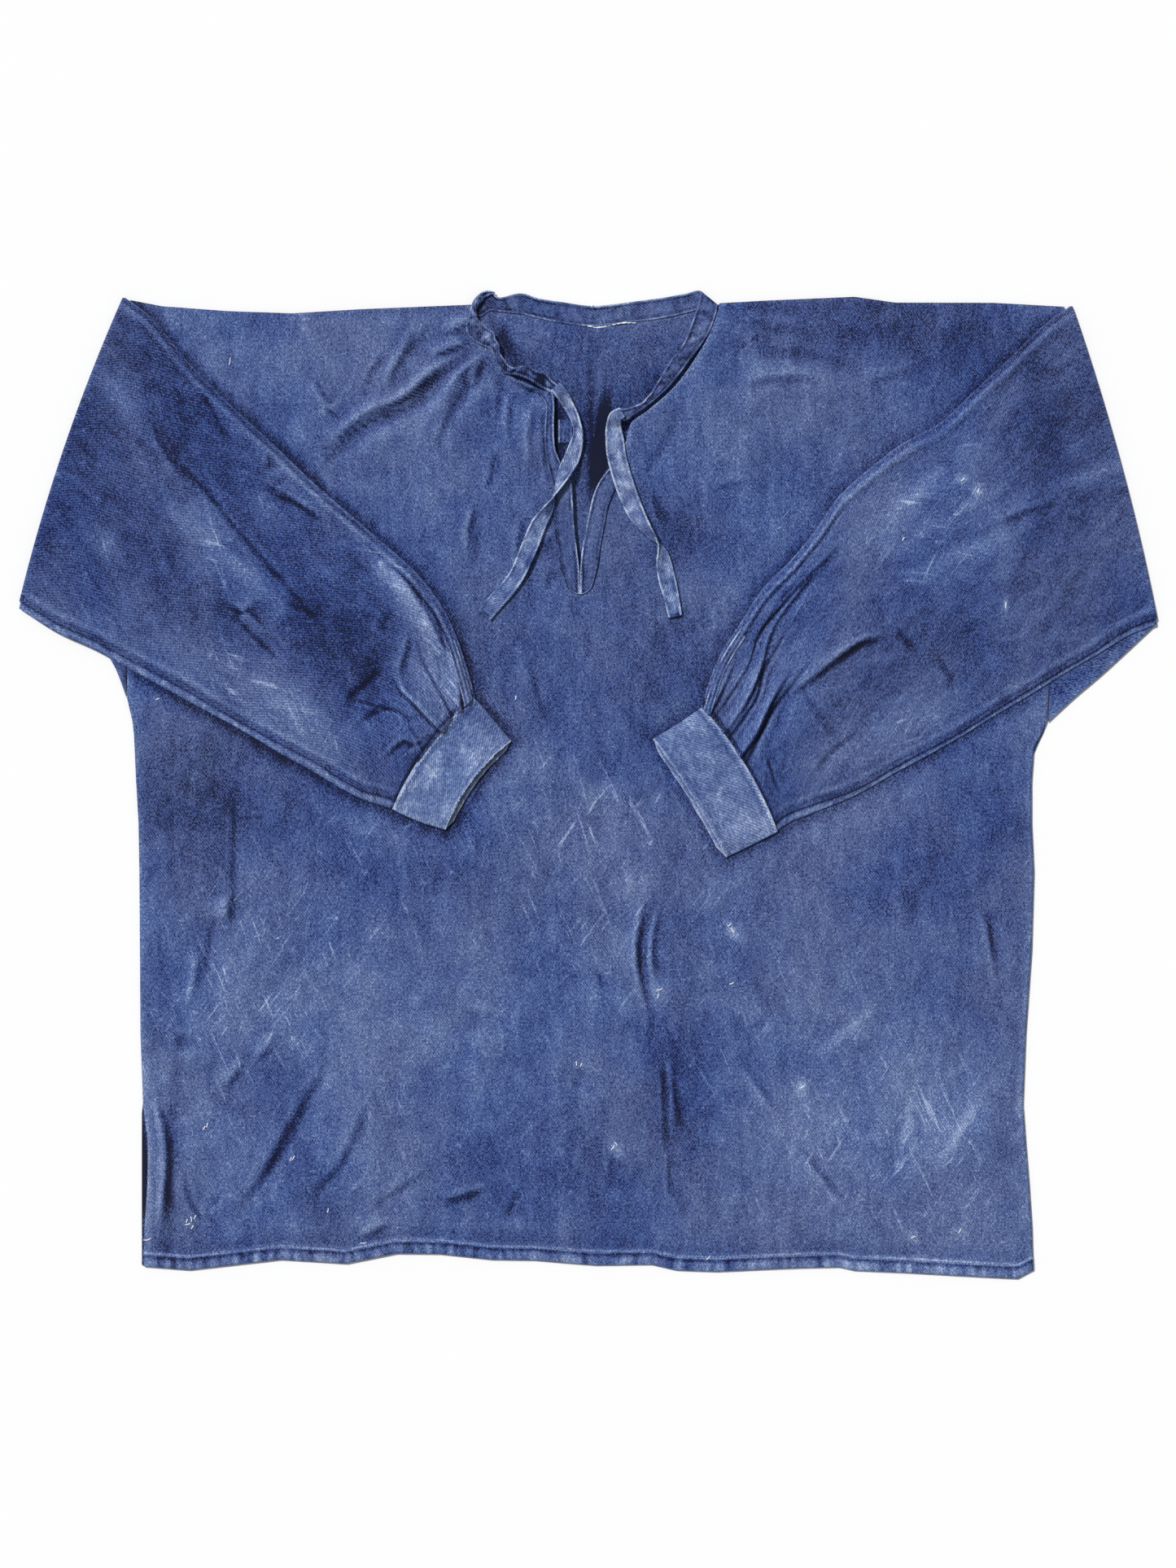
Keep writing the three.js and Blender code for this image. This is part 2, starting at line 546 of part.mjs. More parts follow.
// Back panel: a flat wall with the smock's outline and the back neckline
const backRows = lowerLevels.length + LEFT_OPENING.length;
function backSide(side) {
  return Array.from({ length: backRows }, (_, i) => {
    const level = THREE.MathUtils.lerp(SHOULDER_LEVEL, HEM_LEVEL + 1, i / (backRows - 1));
    let x = lookUp(BODY, "level", level, side);
    if (side === "left" && level < VENT_TOP) x = Math.min(x, BACK_VENT_EDGE);
    return new THREE.Vector2(x, waved(x, level));
  });
}
const backOutline = [
  ...backSide("left"),
  ...HEM.slice(1, -1).map((h) => new THREE.Vector2(h.x, HEM_LEVEL + 1 + h.rise)),
  ...backSide("right").reverse(),
  ...SHOULDER.slice(6, -1).reverse().map((s) => new THREE.Vector2(s.x, SHOULDER_LEVEL + s.rise)),
  ...BACK_NECK.slice().reverse().map((n) => new THREE.Vector2(n.x, n.seam)),
  ...SHOULDER.slice(1, 6).reverse().map((s) => new THREE.Vector2(s.x, SHOULDER_LEVEL + s.rise)),
];
const backFaces = THREE.ShapeUtils.triangulateShape(backOutline, []);
const backUnder = backOutline.map((p) => new THREE.Vector3(p.x, p.y, 0));
const backOver = backOutline.map((p) => new THREE.Vector3(p.x, p.y, CLOTH));
const counterClockwise = THREE.ShapeUtils.area(backOutline) > 0;
const backTriangles = backFaces.map(([a, b, c]) => (counterClockwise ? [a, b, c] : [a, c, b]));
addPiece("back", wallGeometry(backOver, backUnder, backTriangles), twill);

// Neckband across the back: flat on the floor, just past the back neckline
const bandBackUnder = BACK_NECK.flatMap((n) => [
  new THREE.Vector3(n.x, n.seam + GAP, 0),
  new THREE.Vector3(n.x, (n.seam + n.top) / 2, 0),
  new THREE.Vector3(n.x, n.top, 0),
]);
const bandBackOver = bandBackUnder.map((p) => p.clone().setZ(BAND_WALL));
const bandBackGrid = gridTriangles(BACK_NECK.length, 3, false, false);
addPiece("neckband_back", wallGeometry(bandBackOver, bandBackUnder, bandBackGrid), wornTwill);

// Neckband down one side of the front: from the front's edge to the band's free edge, arched between them
function addFrontBand(name, opening, steps, arch, turned) {
  const sewn = opening.filter((row) => row.freeX !== undefined);
  const under = [];
  for (const row of sewn) {
    const seam = new THREE.Vector2(row.edge, waved(row.edge, row.level));
    const free = new THREE.Vector2(row.freeX, row.freeY);
    const start = free.clone().sub(seam).setLength(GAP).add(seam);
    const base = Math.max(frontHeight(seam.x, seam.y), BAND_WALL + GAP);
    for (let i = 0; i <= steps; i++) {
      const share = i / steps;
      const place = start.clone().lerp(free, share);
      under.push(new THREE.Vector3(place.x, place.y, base + arch * Math.sin(Math.PI * share)));
    }
  }
  const over = under.map((p) => p.clone().setZ(p.z + BAND_WALL));
  const triangles = gridTriangles(sewn.length, steps + 1, false, turned);
  addPiece(name, wallGeometry(over, under, triangles), wornTwill);
}
addFrontBand("neckband_left", LEFT_OPENING, 4, 5, false);
addFrontBand("neckband_right", RIGHT_OPENING, 3, 1.2, true);

// Ties: flat tapes that turn over on their way down the front
function addTie(name, route) {
  const over = [];
  const under = [];
  route.forEach((stop, i) => {
    const before = route[Math.max(0, i - 1)];
    const after = route[Math.min(route.length - 1, i + 1)];
    const way = new THREE.Vector2(after.x - before.x, after.y - before.y).normalize();
    const turn = THREE.MathUtils.degToRad(stop.turn);
    const half = stop.width / 2;
    const flat = new THREE.Vector3(-way.y, way.x, 0);
    const rise = new THREE.Vector3(0, 0, 1);
    const reach = flat.clone().multiplyScalar(half * Math.cos(turn));
    reach.addScaledVector(rise, half * TWIST_RISE * Math.sin(turn));
    const through = flat.clone().multiplyScalar(-Math.sin(turn)).addScaledVector(rise, Math.cos(turn));
    const standing = Math.abs(reach.z) + TIE_WALL / 2;
    const flatReach = Math.abs(half * Math.cos(turn));
    let ground = 0;
    for (const side of [-1, 0, 1]) {
      const x = stop.x + side * flat.x * flatReach;
      ground = Math.max(ground, frontHeight(x, stop.y + side * flat.y * flatReach));
    }
    const low = ground + 2 * CLOTH + GAP + TIE_CLEAR;
    const middle = new THREE.Vector3(stop.x, stop.y, low + standing);
    for (const side of [-1, 0, 1]) {
      const place = middle.clone().addScaledVector(reach, side);
      over.push(place.clone().addScaledVector(through, TIE_WALL / 2));
      under.push(place.clone().addScaledVector(through, -TIE_WALL / 2));
    }
  });
  addPiece(name, wallGeometry(over, under, gridTriangles(route.length, 3, false, false)), wornTwill);
}
addTie("tie_left", TIE_LEFT);
addTie("tie_right", TIE_RIGHT);

// One ring of a flattened tube. `radius` is half the tube's thickness at the wanted face of its wall.
// A ring starts with the layer that shows once the sleeve is folded over.
function ringPoints(ring, hand, radius, outerRadius, turn, axis, lift) {
  const across = new THREE.Vector2(ring.bx - ring.ax, ring.by - ring.ay);
  const length = across.length();
  across.normalize();
  const onward = new THREE.Vector2(-across.y, across.x).multiplyScalar(hand);
  const angle = THREE.MathUtils.degToRad(turn);
  const places = [];
  const straight = length - 2 * outerRadius;
  for (let i = 0; i <= SHOWN_STEPS; i++) {
    places.push([outerRadius + (straight * i) / SHOWN_STEPS, -radius, true]);
  }
  places.push([length - outerRadius + radius, 0, false]);
  for (let i = HIDDEN_STEPS; i >= 0; i--) {
    places.push([outerRadius + (straight * i) / HIDDEN_STEPS, radius, false]);
  }
  places.push([outerRadius - radius, 0, false]);
  return places.map(([along, height, shown]) => {
    const share = along / length;
    const arm = axis - height;
    const out = ring.bow * 4 * share * (1 - share) - arm * Math.sin(angle);
    const x = ring.ax + across.x * along + onward.x * out;
    const y = ring.ay + across.y * along + onward.y * out;
    const z = TURN_AXIS - arm * Math.cos(angle);
    return new THREE.Vector3(x, y, shown ? z + lift(x, y, share) : z);
  });
}

// The wall of a tube from its rings. `axis` is the height of the turn axis over the tube's middle.
function addTube(name, rings, sleeve, wall, axis, material) {
  const middle = (CLOTH + GAP) / 2;
  const outer = middle + wall / 2;
  const inner = middle - wall / 2;
  const flat = () => 0;
  const faces = [outer, inner].map((radius) =>
    rings.flatMap(({ ring, turn, full }) => {
      const lift = full ? (x, y, share) => full * sleeveLift(sleeve, x, y, share) : flat;
      return ringPoints(ring, sleeve.hand, radius, outer, turn, axis, lift);
    }),
  );
  const round = SHOWN_STEPS + HIDDEN_STEPS + 4;
  const triangles = gridTriangles(rings.length, round, true, sleeve.hand > 0);
  addPiece(name, wallGeometry(faces[0], faces[1], triangles), material);
}

function sleeveLift(sleeve, x, y, share) {
  const edges = ease(0, 0.12, share) * ease(0, 0.12, 1 - share);
  return edges * reliefAt(sleeve.swells, sleeve.folds, x, y);
}

const LAID_OVER = 180;
const turnArm = TURN_AXIS - TUBE_MID;
function addSleeve(side, sleeve) {
  const rings = sleeve.root.map((ring) => ({ ring, turn: 0, full: 0 }));
  const foldLine = sleeve.over[0];
  for (const turn of [0, ...TURNS]) rings.push({ ring: foldLine, turn, full: 0 });
  sleeve.over.forEach((ring, i) => {
    rings.push({ ring, turn: LAID_OVER, full: Math.min(1, i / 2) });
  });
  addTube("sleeve_" + side, rings, sleeve, CLOTH, turnArm, twill);
  const cuffRings = sleeve.cuff.map((ring) => ({ ring, turn: LAID_OVER, full: 0.5 }));
  addTube("cuff_" + side, cuffRings, sleeve, CLOTH, turnArm, wornTwill);
}
addSleeve("left", SLEEVE_LEFT);
addSleeve("right", SLEEVE_RIGHT);

// Binding of a sleeve slit: a strip on the sleeve's top layer, along its shoulder side, ending at the cuff
const BINDING_IN = 3; // from the sleeve's edge
const BINDING_OUT = 12;
function addBinding(side, sleeve) {
  const rings = sleeve.over.slice(-3);
  const under = [];
  rings.forEach((ring) => {
    const across = new THREE.Vector2(ring.bx - ring.ax, ring.by - ring.ay);
    const length = across.length();
    across.normalize();
    const onward = new THREE.Vector2(-across.y, across.x).multiplyScalar(sleeve.hand);
    for (const along of [BINDING_IN, BINDING_OUT]) {
      const share = along / length;
      const out = ring.bow * 4 * share * (1 - share);
      const x = ring.ax + across.x * along + onward.x * out;
      const y = ring.ay + across.y * along + onward.y * out;
      const layer = TURN_AXIS + turnArm + TUBE_MID;
      const lift = Math.max(sleeveLift(sleeve, x, y, share), sleeveLift(sleeve, x, y, 0.1));
      under.push(new THREE.Vector3(x, y, layer + GAP + lift));
    }
  });
  const over = under.map((p) => p.clone().setZ(p.z + CLOTH));
  const triangles = gridTriangles(rings.length, 2, false, sleeve.hand > 0);
  addPiece("slit_binding_" + side, wallGeometry(over, under, triangles), wornTwill);
}
addBinding("left", SLEEVE_LEFT);
addBinding("right", SLEEVE_RIGHT);

export default smock;
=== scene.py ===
"""Work smock of blue cotton twill, laid flat with both sleeves folded over its front.

Metres, with X across the smock, Y from the hem towards the neck and Z up from the floor.
Tables and sizes are in millimetres, and are turned to metres where a mesh is made.
"Left" is the side towards -X.
"""

import math

import bpy
import numpy as np
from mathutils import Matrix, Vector, noise
from mathutils.bvhtree import BVHTree


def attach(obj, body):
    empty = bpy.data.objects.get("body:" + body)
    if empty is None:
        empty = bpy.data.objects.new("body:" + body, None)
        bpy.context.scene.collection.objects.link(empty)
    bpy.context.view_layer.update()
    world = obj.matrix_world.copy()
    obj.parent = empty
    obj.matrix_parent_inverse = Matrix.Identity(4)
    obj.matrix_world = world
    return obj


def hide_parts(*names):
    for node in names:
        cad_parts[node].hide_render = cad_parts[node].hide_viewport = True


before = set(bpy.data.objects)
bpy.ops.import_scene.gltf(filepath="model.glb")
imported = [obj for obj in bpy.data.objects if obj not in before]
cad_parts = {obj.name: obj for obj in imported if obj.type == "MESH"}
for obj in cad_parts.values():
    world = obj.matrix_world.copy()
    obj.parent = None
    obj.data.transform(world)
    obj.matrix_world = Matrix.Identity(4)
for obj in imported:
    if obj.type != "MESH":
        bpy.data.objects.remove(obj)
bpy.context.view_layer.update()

# Camera
# It hangs straight above the middle of the smock, with the neck at the top of the picture,
# and its picture's long side takes in 1.35 m of floor.
MM = 0.001
CAMERA_HEIGHT = 2.4
FIELD = 1.349
SENSOR = 36

scene = bpy.context.scene
scene.view_settings.view_transform = "Standard"


def add_object(name, data):
    """Object in the scene with the given mesh, lamp or camera."""
    thing = bpy.data.objects.new(name, data)
    scene.collection.objects.link(thing)
    return thing


camera_data = bpy.data.cameras.new("camera")
camera_data.sensor_width = SENSOR
camera_data.lens = SENSOR * CAMERA_HEIGHT / FIELD
camera = add_object("camera", camera_data)
camera.location = (0, 0, CAMERA_HEIGHT)
scene.camera = camera


# Floor and light
# A plain pale studio floor under even light from all round, with one broad soft lamp high up beyond
# the left shoulder, so that shadows are faint and fall towards the hem and to the right.
FLOOR_HALF = 3.0
FLOOR_DROP = 0.0002
LAMP_WAY = Vector((0.6, -0.62, -1.1))
LAMP_STRENGTH = 3.1
LAMP_BREADTH = 9
AMBIENT = 0.29


def linear(shade):
    """Linear colour, with alpha, of an sRGB hex value such as "4a5d90"."""
    parts = [int(shade[i:i + 2], 16) / 255 for i in (0, 2, 4)]
    return tuple(c / 12.92 if c <= 0.04045 else ((c + 0.055) / 1.055) ** 2.4 for c in parts) + (1,)


def add_node(tree, kind, inputs=None, **settings):
    """Adds a node with its settings. A socket among its inputs is linked, any other value is set."""
    node = tree.nodes.new(kind)
    for name, value in settings.items():
        setattr(node, name, value)
    for name, value in (inputs or {}).items():
        if isinstance(value, bpy.types.NodeSocket):
            tree.links.new(value, node.inputs[name])
        else:
            node.inputs[name].default_value = value
    return node


def new_material(name):
    """A material without nodes, and its tree."""
    material = bpy.data.materials.new(name)
    material.use_nodes = True
    material.node_tree.nodes.clear()
    return material, material.node_tree


def noisy(tree, place, scale, detail=2.0, roughness=0.5, distortion=0.0):
    """Smooth noise between 0 and 1 over a place."""
    return add_node(
        tree,
        "ShaderNodeTexNoise",
        {"Vector": place, "Scale": scale, "Detail": detail, "Roughness": roughness,
         "Distortion": distortion},
    ).outputs[0]


def reckoned(tree, operation, *values):
    """Result of one sum on numbers or sockets."""
    return add_node(tree, "ShaderNodeMath", dict(enumerate(values)), operation=operation).outputs[0]


# Painted studio board: matt, with a trace of unevenness in its gloss
floor_paint, paint_tree = new_material("matt_white_board")
paint_place = add_node(paint_tree, "ShaderNodeTexCoord").outputs["Object"]
paint_gloss = reckoned(paint_tree, "MULTIPLY_ADD", noisy(paint_tree, paint_place, 40.0), 0.1, 0.85)
paint_skin = add_node(
    paint_tree,
    "ShaderNodeBsdfPrincipled",
    {"Base Color": linear("f7f7f7"), "Roughness": paint_gloss, "Specular IOR Level": 0.1},
)
add_node(paint_tree, "ShaderNodeOutputMaterial", {"Surface": paint_skin.outputs[0]})

floor_mesh = bpy.data.meshes.new("floor")
floor_turns = ((-1, -1), (1, -1), (1, 1), (-1, 1))
floor_corners = [(x * FLOOR_HALF, y * FLOOR_HALF, -FLOOR_DROP) for x, y in floor_turns]
floor_mesh.from_pydata(floor_corners, [], [(0, 1, 2, 3)])
floor_mesh.materials.append(floor_paint)
floor = add_object("floor", floor_mesh)

world = bpy.data.worlds.new("studio")
world.use_nodes = True
sky = world.node_tree.nodes["Background"].inputs
sky["Color"].default_value = (1, 1, 1, 1)
sky["Strength"].default_value = AMBIENT
scene.world = world

lamp_data = bpy.data.lights.new("soft_lamp", "SUN")
lamp_data.energy = LAMP_STRENGTH
lamp_data.angle = math.radians(LAMP_BREADTH)
lamp = add_object("soft_lamp", lamp_data)
lamp.rotation_mode = "QUATERNION"
lamp.rotation_quaternion = LAMP_WAY.to_track_quat("-Z", "Y")
lamp.location = -LAMP_WAY


# Back panel
# One panel of cotton twill that lies flat on the floor, with everything else on top of it.
# Its inside shows in the neck opening, with a pressed crease down its middle, and has painted shade there.
CLOTH = 1.2
GAP = 0.3
SHOULDER_LEVEL = 412
HEM_LEVEL = -412
VENT_TOP = -277
BACK_VENT_EDGE = -383.6
EDGE_REACH = 110
BACK_TONE = 0.33
# Level, left edge, right edge
BODY = [
    (412, -393.3, 409.3), (74, -396.1, 395.6), (54, -391.5, 394.4), (41, -390, 388.7),
    (31, -389.6, 383), (2, -388.3, 381), (-33, -386.2, 381), (-75, -385.5, 383), (-143, -385, 381),
    (-214, -384.6, 376), (-275, -382.4, 373.6), (-308, -378.2, 376), (-342, -378.4, 378.9),
    (-376, -381, 381.3), (-412, -382, 382.4),
]
# X, rise above the shoulder's level
SHOULDER = [
    (-393, 3.8), (-366, -1.4), (-310, -5.6), (-254, -7.7), (-198, -4.2), (-98, 0), (113, 0.6),
    (152, 2.8), (229, 6.3), (264, 1.4), (348, 1.4), (409, -1.8),
]
# X, rise above the hem's level
HEM = [
    (-382, -2.6), (-343, -5.6), (-301, -0.7), (-265, 3.5), (-208, 0), (-165, 8.8), (-128, 8.4),
    (-83, 3.5), (-47, 3), (6, -1.4), (54, -0.7), (75, -5.6), (110, -6.9), (166, -4.2), (215, -2.8),
    (228, -5.8), (272, -7.7), (334, -11.2), (369, -13), (382, -6),
]
# X, seam with the neckband, top edge of the neckband
BACK_NECK = [
    (-84, 406.4, 423.3), (-76, 405.6, 418.3), (-58, 403.6, 421.8), (-42, 400, 417.4),
    (-23, 395.9, 414.4), (5, 393, 411), (40, 396.9, 414.8), (68, 400.8, 418.6), (85, 404.8, 422),
    (95, 407.6, 424.2),
]
# Width, height and line of each crease of the back that shows in the neck opening
BACK_CREASES = [
    (3.4, 1.5, [(5, 388), (4, 350), (6, 310), (5, 270)]),
    (5, 0.5, [(-40, 392), (-52, 360), (-50, 345)]),
    (5, 0.6, [(44, 390), (36, 350), (30, 318)]),
]
# X, Y, reach across, reach along, lean in degrees, how much paler. Most of the deep ones are painted
# shade: in the hollow of the neck opening beside the ties, under the rolled left band, on one side of the
# pressed crease with a painted highlight on the other, and in the gap of the vent.
BACK_TONES_AND_SHADE = [
    (5, 330, 60, 90, 0, -0.1), (5, 400, 90, 14, 0, 0.08), (-70, 378, 9, 22, 25, -0.4),
    (10.5, 290, 5.5, 30, -8, -1.7), (60, 345, 10, 20, -40, -0.25), (-28, 300, 8, 30, 0, -0.6),
    (12, 285, 26, 34, 0, -0.16), (5, 395, 5, 12, 0, 0.12), (-384, -335, 5, 48, 0, -0.9),
    (2.5, 338, 2.4, 52, 0, -0.34), (8, 338, 3.4, 48, 0, 0.1), (-4, 336, 34, 3, -3, -0.1),
]
# Which way the cloth has been smoothed, and how wide the two sides of a fold are beside its own width
SMOOTHED_WAY = (0.66, -0.75)
STEEP_SIDE = 0.4
GENTLE_SIDE = 2


def ease(low, high, at):
    """0 below low, 1 above high, and a smooth rise between them."""
    share = np.clip((np.asarray(at, float) - low) / (high - low), 0, 1)
    return share * share * (3 - 2 * share)


def hump(at, middle, reach):
    """1 at the middle, dying away smoothly on both sides of it."""
    return np.exp(-(((at - middle) / reach) ** 2))


def look_up(table, at, wanted=1):
    """A column of a table at a place of its first column, on straight lines between its rows."""
    rows = sorted(table)
    return np.interp(at, [row[0] for row in rows], [row[wanted] for row in rows])


def through(values, at):
    """Smooth curve through a list of values or points, at places counted in rows."""
    values = np.asarray(values, float)
    if values.ndim == 1:
        return through(values[:, None], at)[:, 0]
    at = np.clip(np.asarray(at, float), 0, len(values) - 1)
    row = np.minimum(at.astype(int), len(values) - 2)
    s = (at - row)[:, None]
    before = values[np.maximum(row - 1, 0)]
    start = values[row]
    end = values[row + 1]
    after = values[np.minimum(row + 2, len(values) - 1)]
    slope = (end - before) * s
    bend = (2 * before - 5 * start + 4 * end - after) * s ** 2
    twist = (3 * start - before - 3 * end + after) * s ** 3
    return start + 0.5 * (slope + bend + twist)


def run_along(points):
    """Distance along a line of points, from its start to each of them."""
    return np.concatenate([[0], np.cumsum(np.hypot(*np.diff(points, axis=0).T))])


def waved(x, level):
    """Y of a point of a panel, with the shoulder's and the hem's waves."""
    near_shoulder = 1 - ease(0, EDGE_REACH, SHOULDER_LEVEL - level)
    near_hem = 1 - ease(0, EDGE_REACH, level - HEM_LEVEL)
    return level + near_shoulder * look_up(SHOULDER, x) + near_hem * look_up(HEM, x)


def creased(creases, x, y, shade=False):
    """Height of ridges and troughs, each along its own line and dying away at both ends.

    The cloth has been smoothed towards the lower right, so each fold falls away steeply on that side of
    its ridge and gently on the other, or the other way round if its row says so. With shade it gives
    the painted shade along the foot of the steep side and the painted highlight along the ridge.
    """
    made = np.zeros(x.shape)
    for number, (width, rise, line, *flipped) in enumerate(creases):
        points = through(line, np.linspace(0, len(line) - 1, 4 * len(line)))
        steep, gentle = STEEP_SIDE * width, GENTLE_SIDE * width
        low = points.min(0) - 2.5 * gentle
        high = points.max(0) + 2.5 * gentle
        near = (x > low[0]) & (x < high[0]) & (y > low[1]) & (y < high[1])
        place = np.stack([x[near], y[near]], -1)
        nearest = np.full(len(place), np.inf)
        along = np.zeros(len(place))
        falling = np.zeros(len(place), bool)
        run = 0
        for start, end in zip(points[:-1], points[1:]):
            side = end - start
            length = np.hypot(*side)
            share = np.clip((place - start) @ side / length ** 2, 0, 1)
            away = np.hypot(*(place - start - share[:, None] * side).T)
            along = np.where(away < nearest, run + share * length, along)
            to_left = side[0] * (place - start)[:, 1] - side[1] * (place - start)[:, 0]
            to_lower_right = to_left * (SMOOTHED_WAY[1] * side[1] - SMOOTHED_WAY[0] * side[0]) > 0
            falling = np.where(away < nearest, to_lower_right == (rise > 0), falling)
            nearest = np.minimum(nearest, away)
            run += length
        falling = ~falling if flipped else falling
        # Each dies away at both ends, and its height varies a little along its line
        ends = ease(-0.02, 0.35, along / run) * ease(-0.02, 0.4, 1 - along / run)
        varied = 1 + 0.22 * np.sin(along / 13 + number)
        if shade:
            foot = hump(nearest, np.where(falling, 0.9, -0.9) * steep, 0.7 + 0.28 * width)
            ridge = hump(nearest, np.where(falling, -1, 1), 0.8 + 0.3 * width)
            made[near] += (0.07 * ridge - 0.15 * foot) * math.sqrt(abs(rise)) * ends * varied
        else:
            made[near] += rise * ends * varied * hump(nearest, 0, np.where(falling, steep, gentle))
    return made


def toned(patches, x, y):
    """Sum of soft paler and deeper patches."""
    tone = np.zeros(x.shape)
    for middle_x, middle_y, across, along, lean, amount in patches:
        turn = math.radians(lean)
        dx = x - middle_x
        dy = y - middle_y
        u = (dx * math.cos(turn) + dy * math.sin(turn)) / across
        v = (dy * math.cos(turn) - dx * math.sin(turn)) / along
        tone += amount * np.exp(-(u ** 2) - v ** 2)
    return tone


def uneven(x, y, size, seed):
    """Gentle unevenness between -1 and 1, with humps of about the given size."""
    places = zip((x / size).ravel(), (y / size).ravel())
    return np.array([noise.noise((u, v, seed)) for u, v in places]).reshape(x.shape)


def crested(height, shape, reach):
    """1 on the crest of a fold, -1 in a hollow, from how a grid's heights stand out from those around."""
    full_crest = 0.55
    grid = height.reshape(shape)
    wide = np.pad(grid, reach, mode="edge")
    rows, across = shape
    sides = (
        wide[:rows, reach:reach + across] + wide[2 * reach:, reach:reach + across]
        + wide[reach:reach + rows, :across] + wide[reach:reach + rows, 2 * reach:]
    )
    return np.clip((grid - sides / 4) / full_crest, -1, 1).ravel()


def wide_faces(rows, across, step, turned=False):
    """Faces of a grid, each as wide as some columns, that keep every point along the grid's edges."""
    columns = sorted(set(range(0, across, step)) | {across - 1})
    faces = []
    for row in range(rows - 1):
        for first, last in zip(columns[:-1], columns[1:]):
            near = range(first, last + 1) if row == 0 else (first, last)
            far = range(last, first - 1, -1) if row == rows - 2 else (last, first)
            face = [row * across + i for i in near] + [(row + 1) * across + i for i in far]
            faces.append(face[::-1] if turned else face)
    return faces


def lowest_near(values, reach):
    """Lowest value within some columns of each one, along the rows of a grid."""
    wide = np.pad(values, ((0, 0), (reach, reach)), mode="edge")
    return np.min([wide[:, k:k + values.shape[1]] for k in range(2 * reach + 1)], axis=0)


def grid_quads(rows, across, closed=False, turned=False):
    """Faces of a grid of points. A closed grid joins its last column to its first."""
    i = np.arange(rows - 1)[:, None]
    j = np.arange(across if closed else across - 1)[None, :]
    a = i * across + j
    b = i * across + (j + 1) % across
    quads = np.stack([a, a + across, b + across, b], -1).reshape(-1, 4)
    return quads[:, ::-1] if turned else quads


def add_wall(name, over, under, quads, cloth_map, marks, material, under_faces=None):
    """A closed wall of cloth between two faces, in millimetres, joined all round their edges.

    The hidden face may have faces of its own, as long as they keep every point of its edges.
    """
    count = len(over)
    edges = np.concatenate([quads[:, [k, (k + 1) % 4]] for k in range(4)])
    known = set(map(tuple, edges.tolist()))
    rim = sorted([b, a, a + count, b + count] for a, b in known if (b, a) not in known)
    lower = quads[:, ::-1].tolist() if under_faces is None else under_faces
    faces = quads.tolist() + [[i + count for i in face] for face in lower] + rim
    used, corners = np.unique([i for face in faces for i in face], return_inverse=True)
    ends = np.cumsum([len(face) for face in faces])
    mesh = bpy.data.meshes.new(name)
    points = (np.concatenate([over, under])[used] * MM).tolist()
    mesh.from_pydata(points, [], [face.tolist() for face in np.split(corners, ends[:-1])])
    for mark, values in marks.items():
        layer = mesh.attributes.new(mark, "FLOAT", "POINT")
        layer.data.foreach_set("value", np.tile(values, 2)[used].astype(np.float32))
    layer = mesh.uv_layers.new(name="cloth")
    layer.data.foreach_set("uv", (np.tile(cloth_map, (2, 1))[used][corners] * MM).ravel())
    mesh.polygons.foreach_set("use_smooth", np.ones(len(mesh.polygons), bool))
    mesh.materials.append(material)
    surfaces[name] = BVHTree.FromPolygons(over.tolist(), quads.tolist())
    return add_object(name, mesh)


def spread(tree, value, low, high):
    """0 where a value is under the low one, 1 where it is over the high one, straight between."""
    return add_node(
        tree, "ShaderNodeMapRange", {"Value": value, "From Min": low, "From Max": high}
    ).outputs[0]


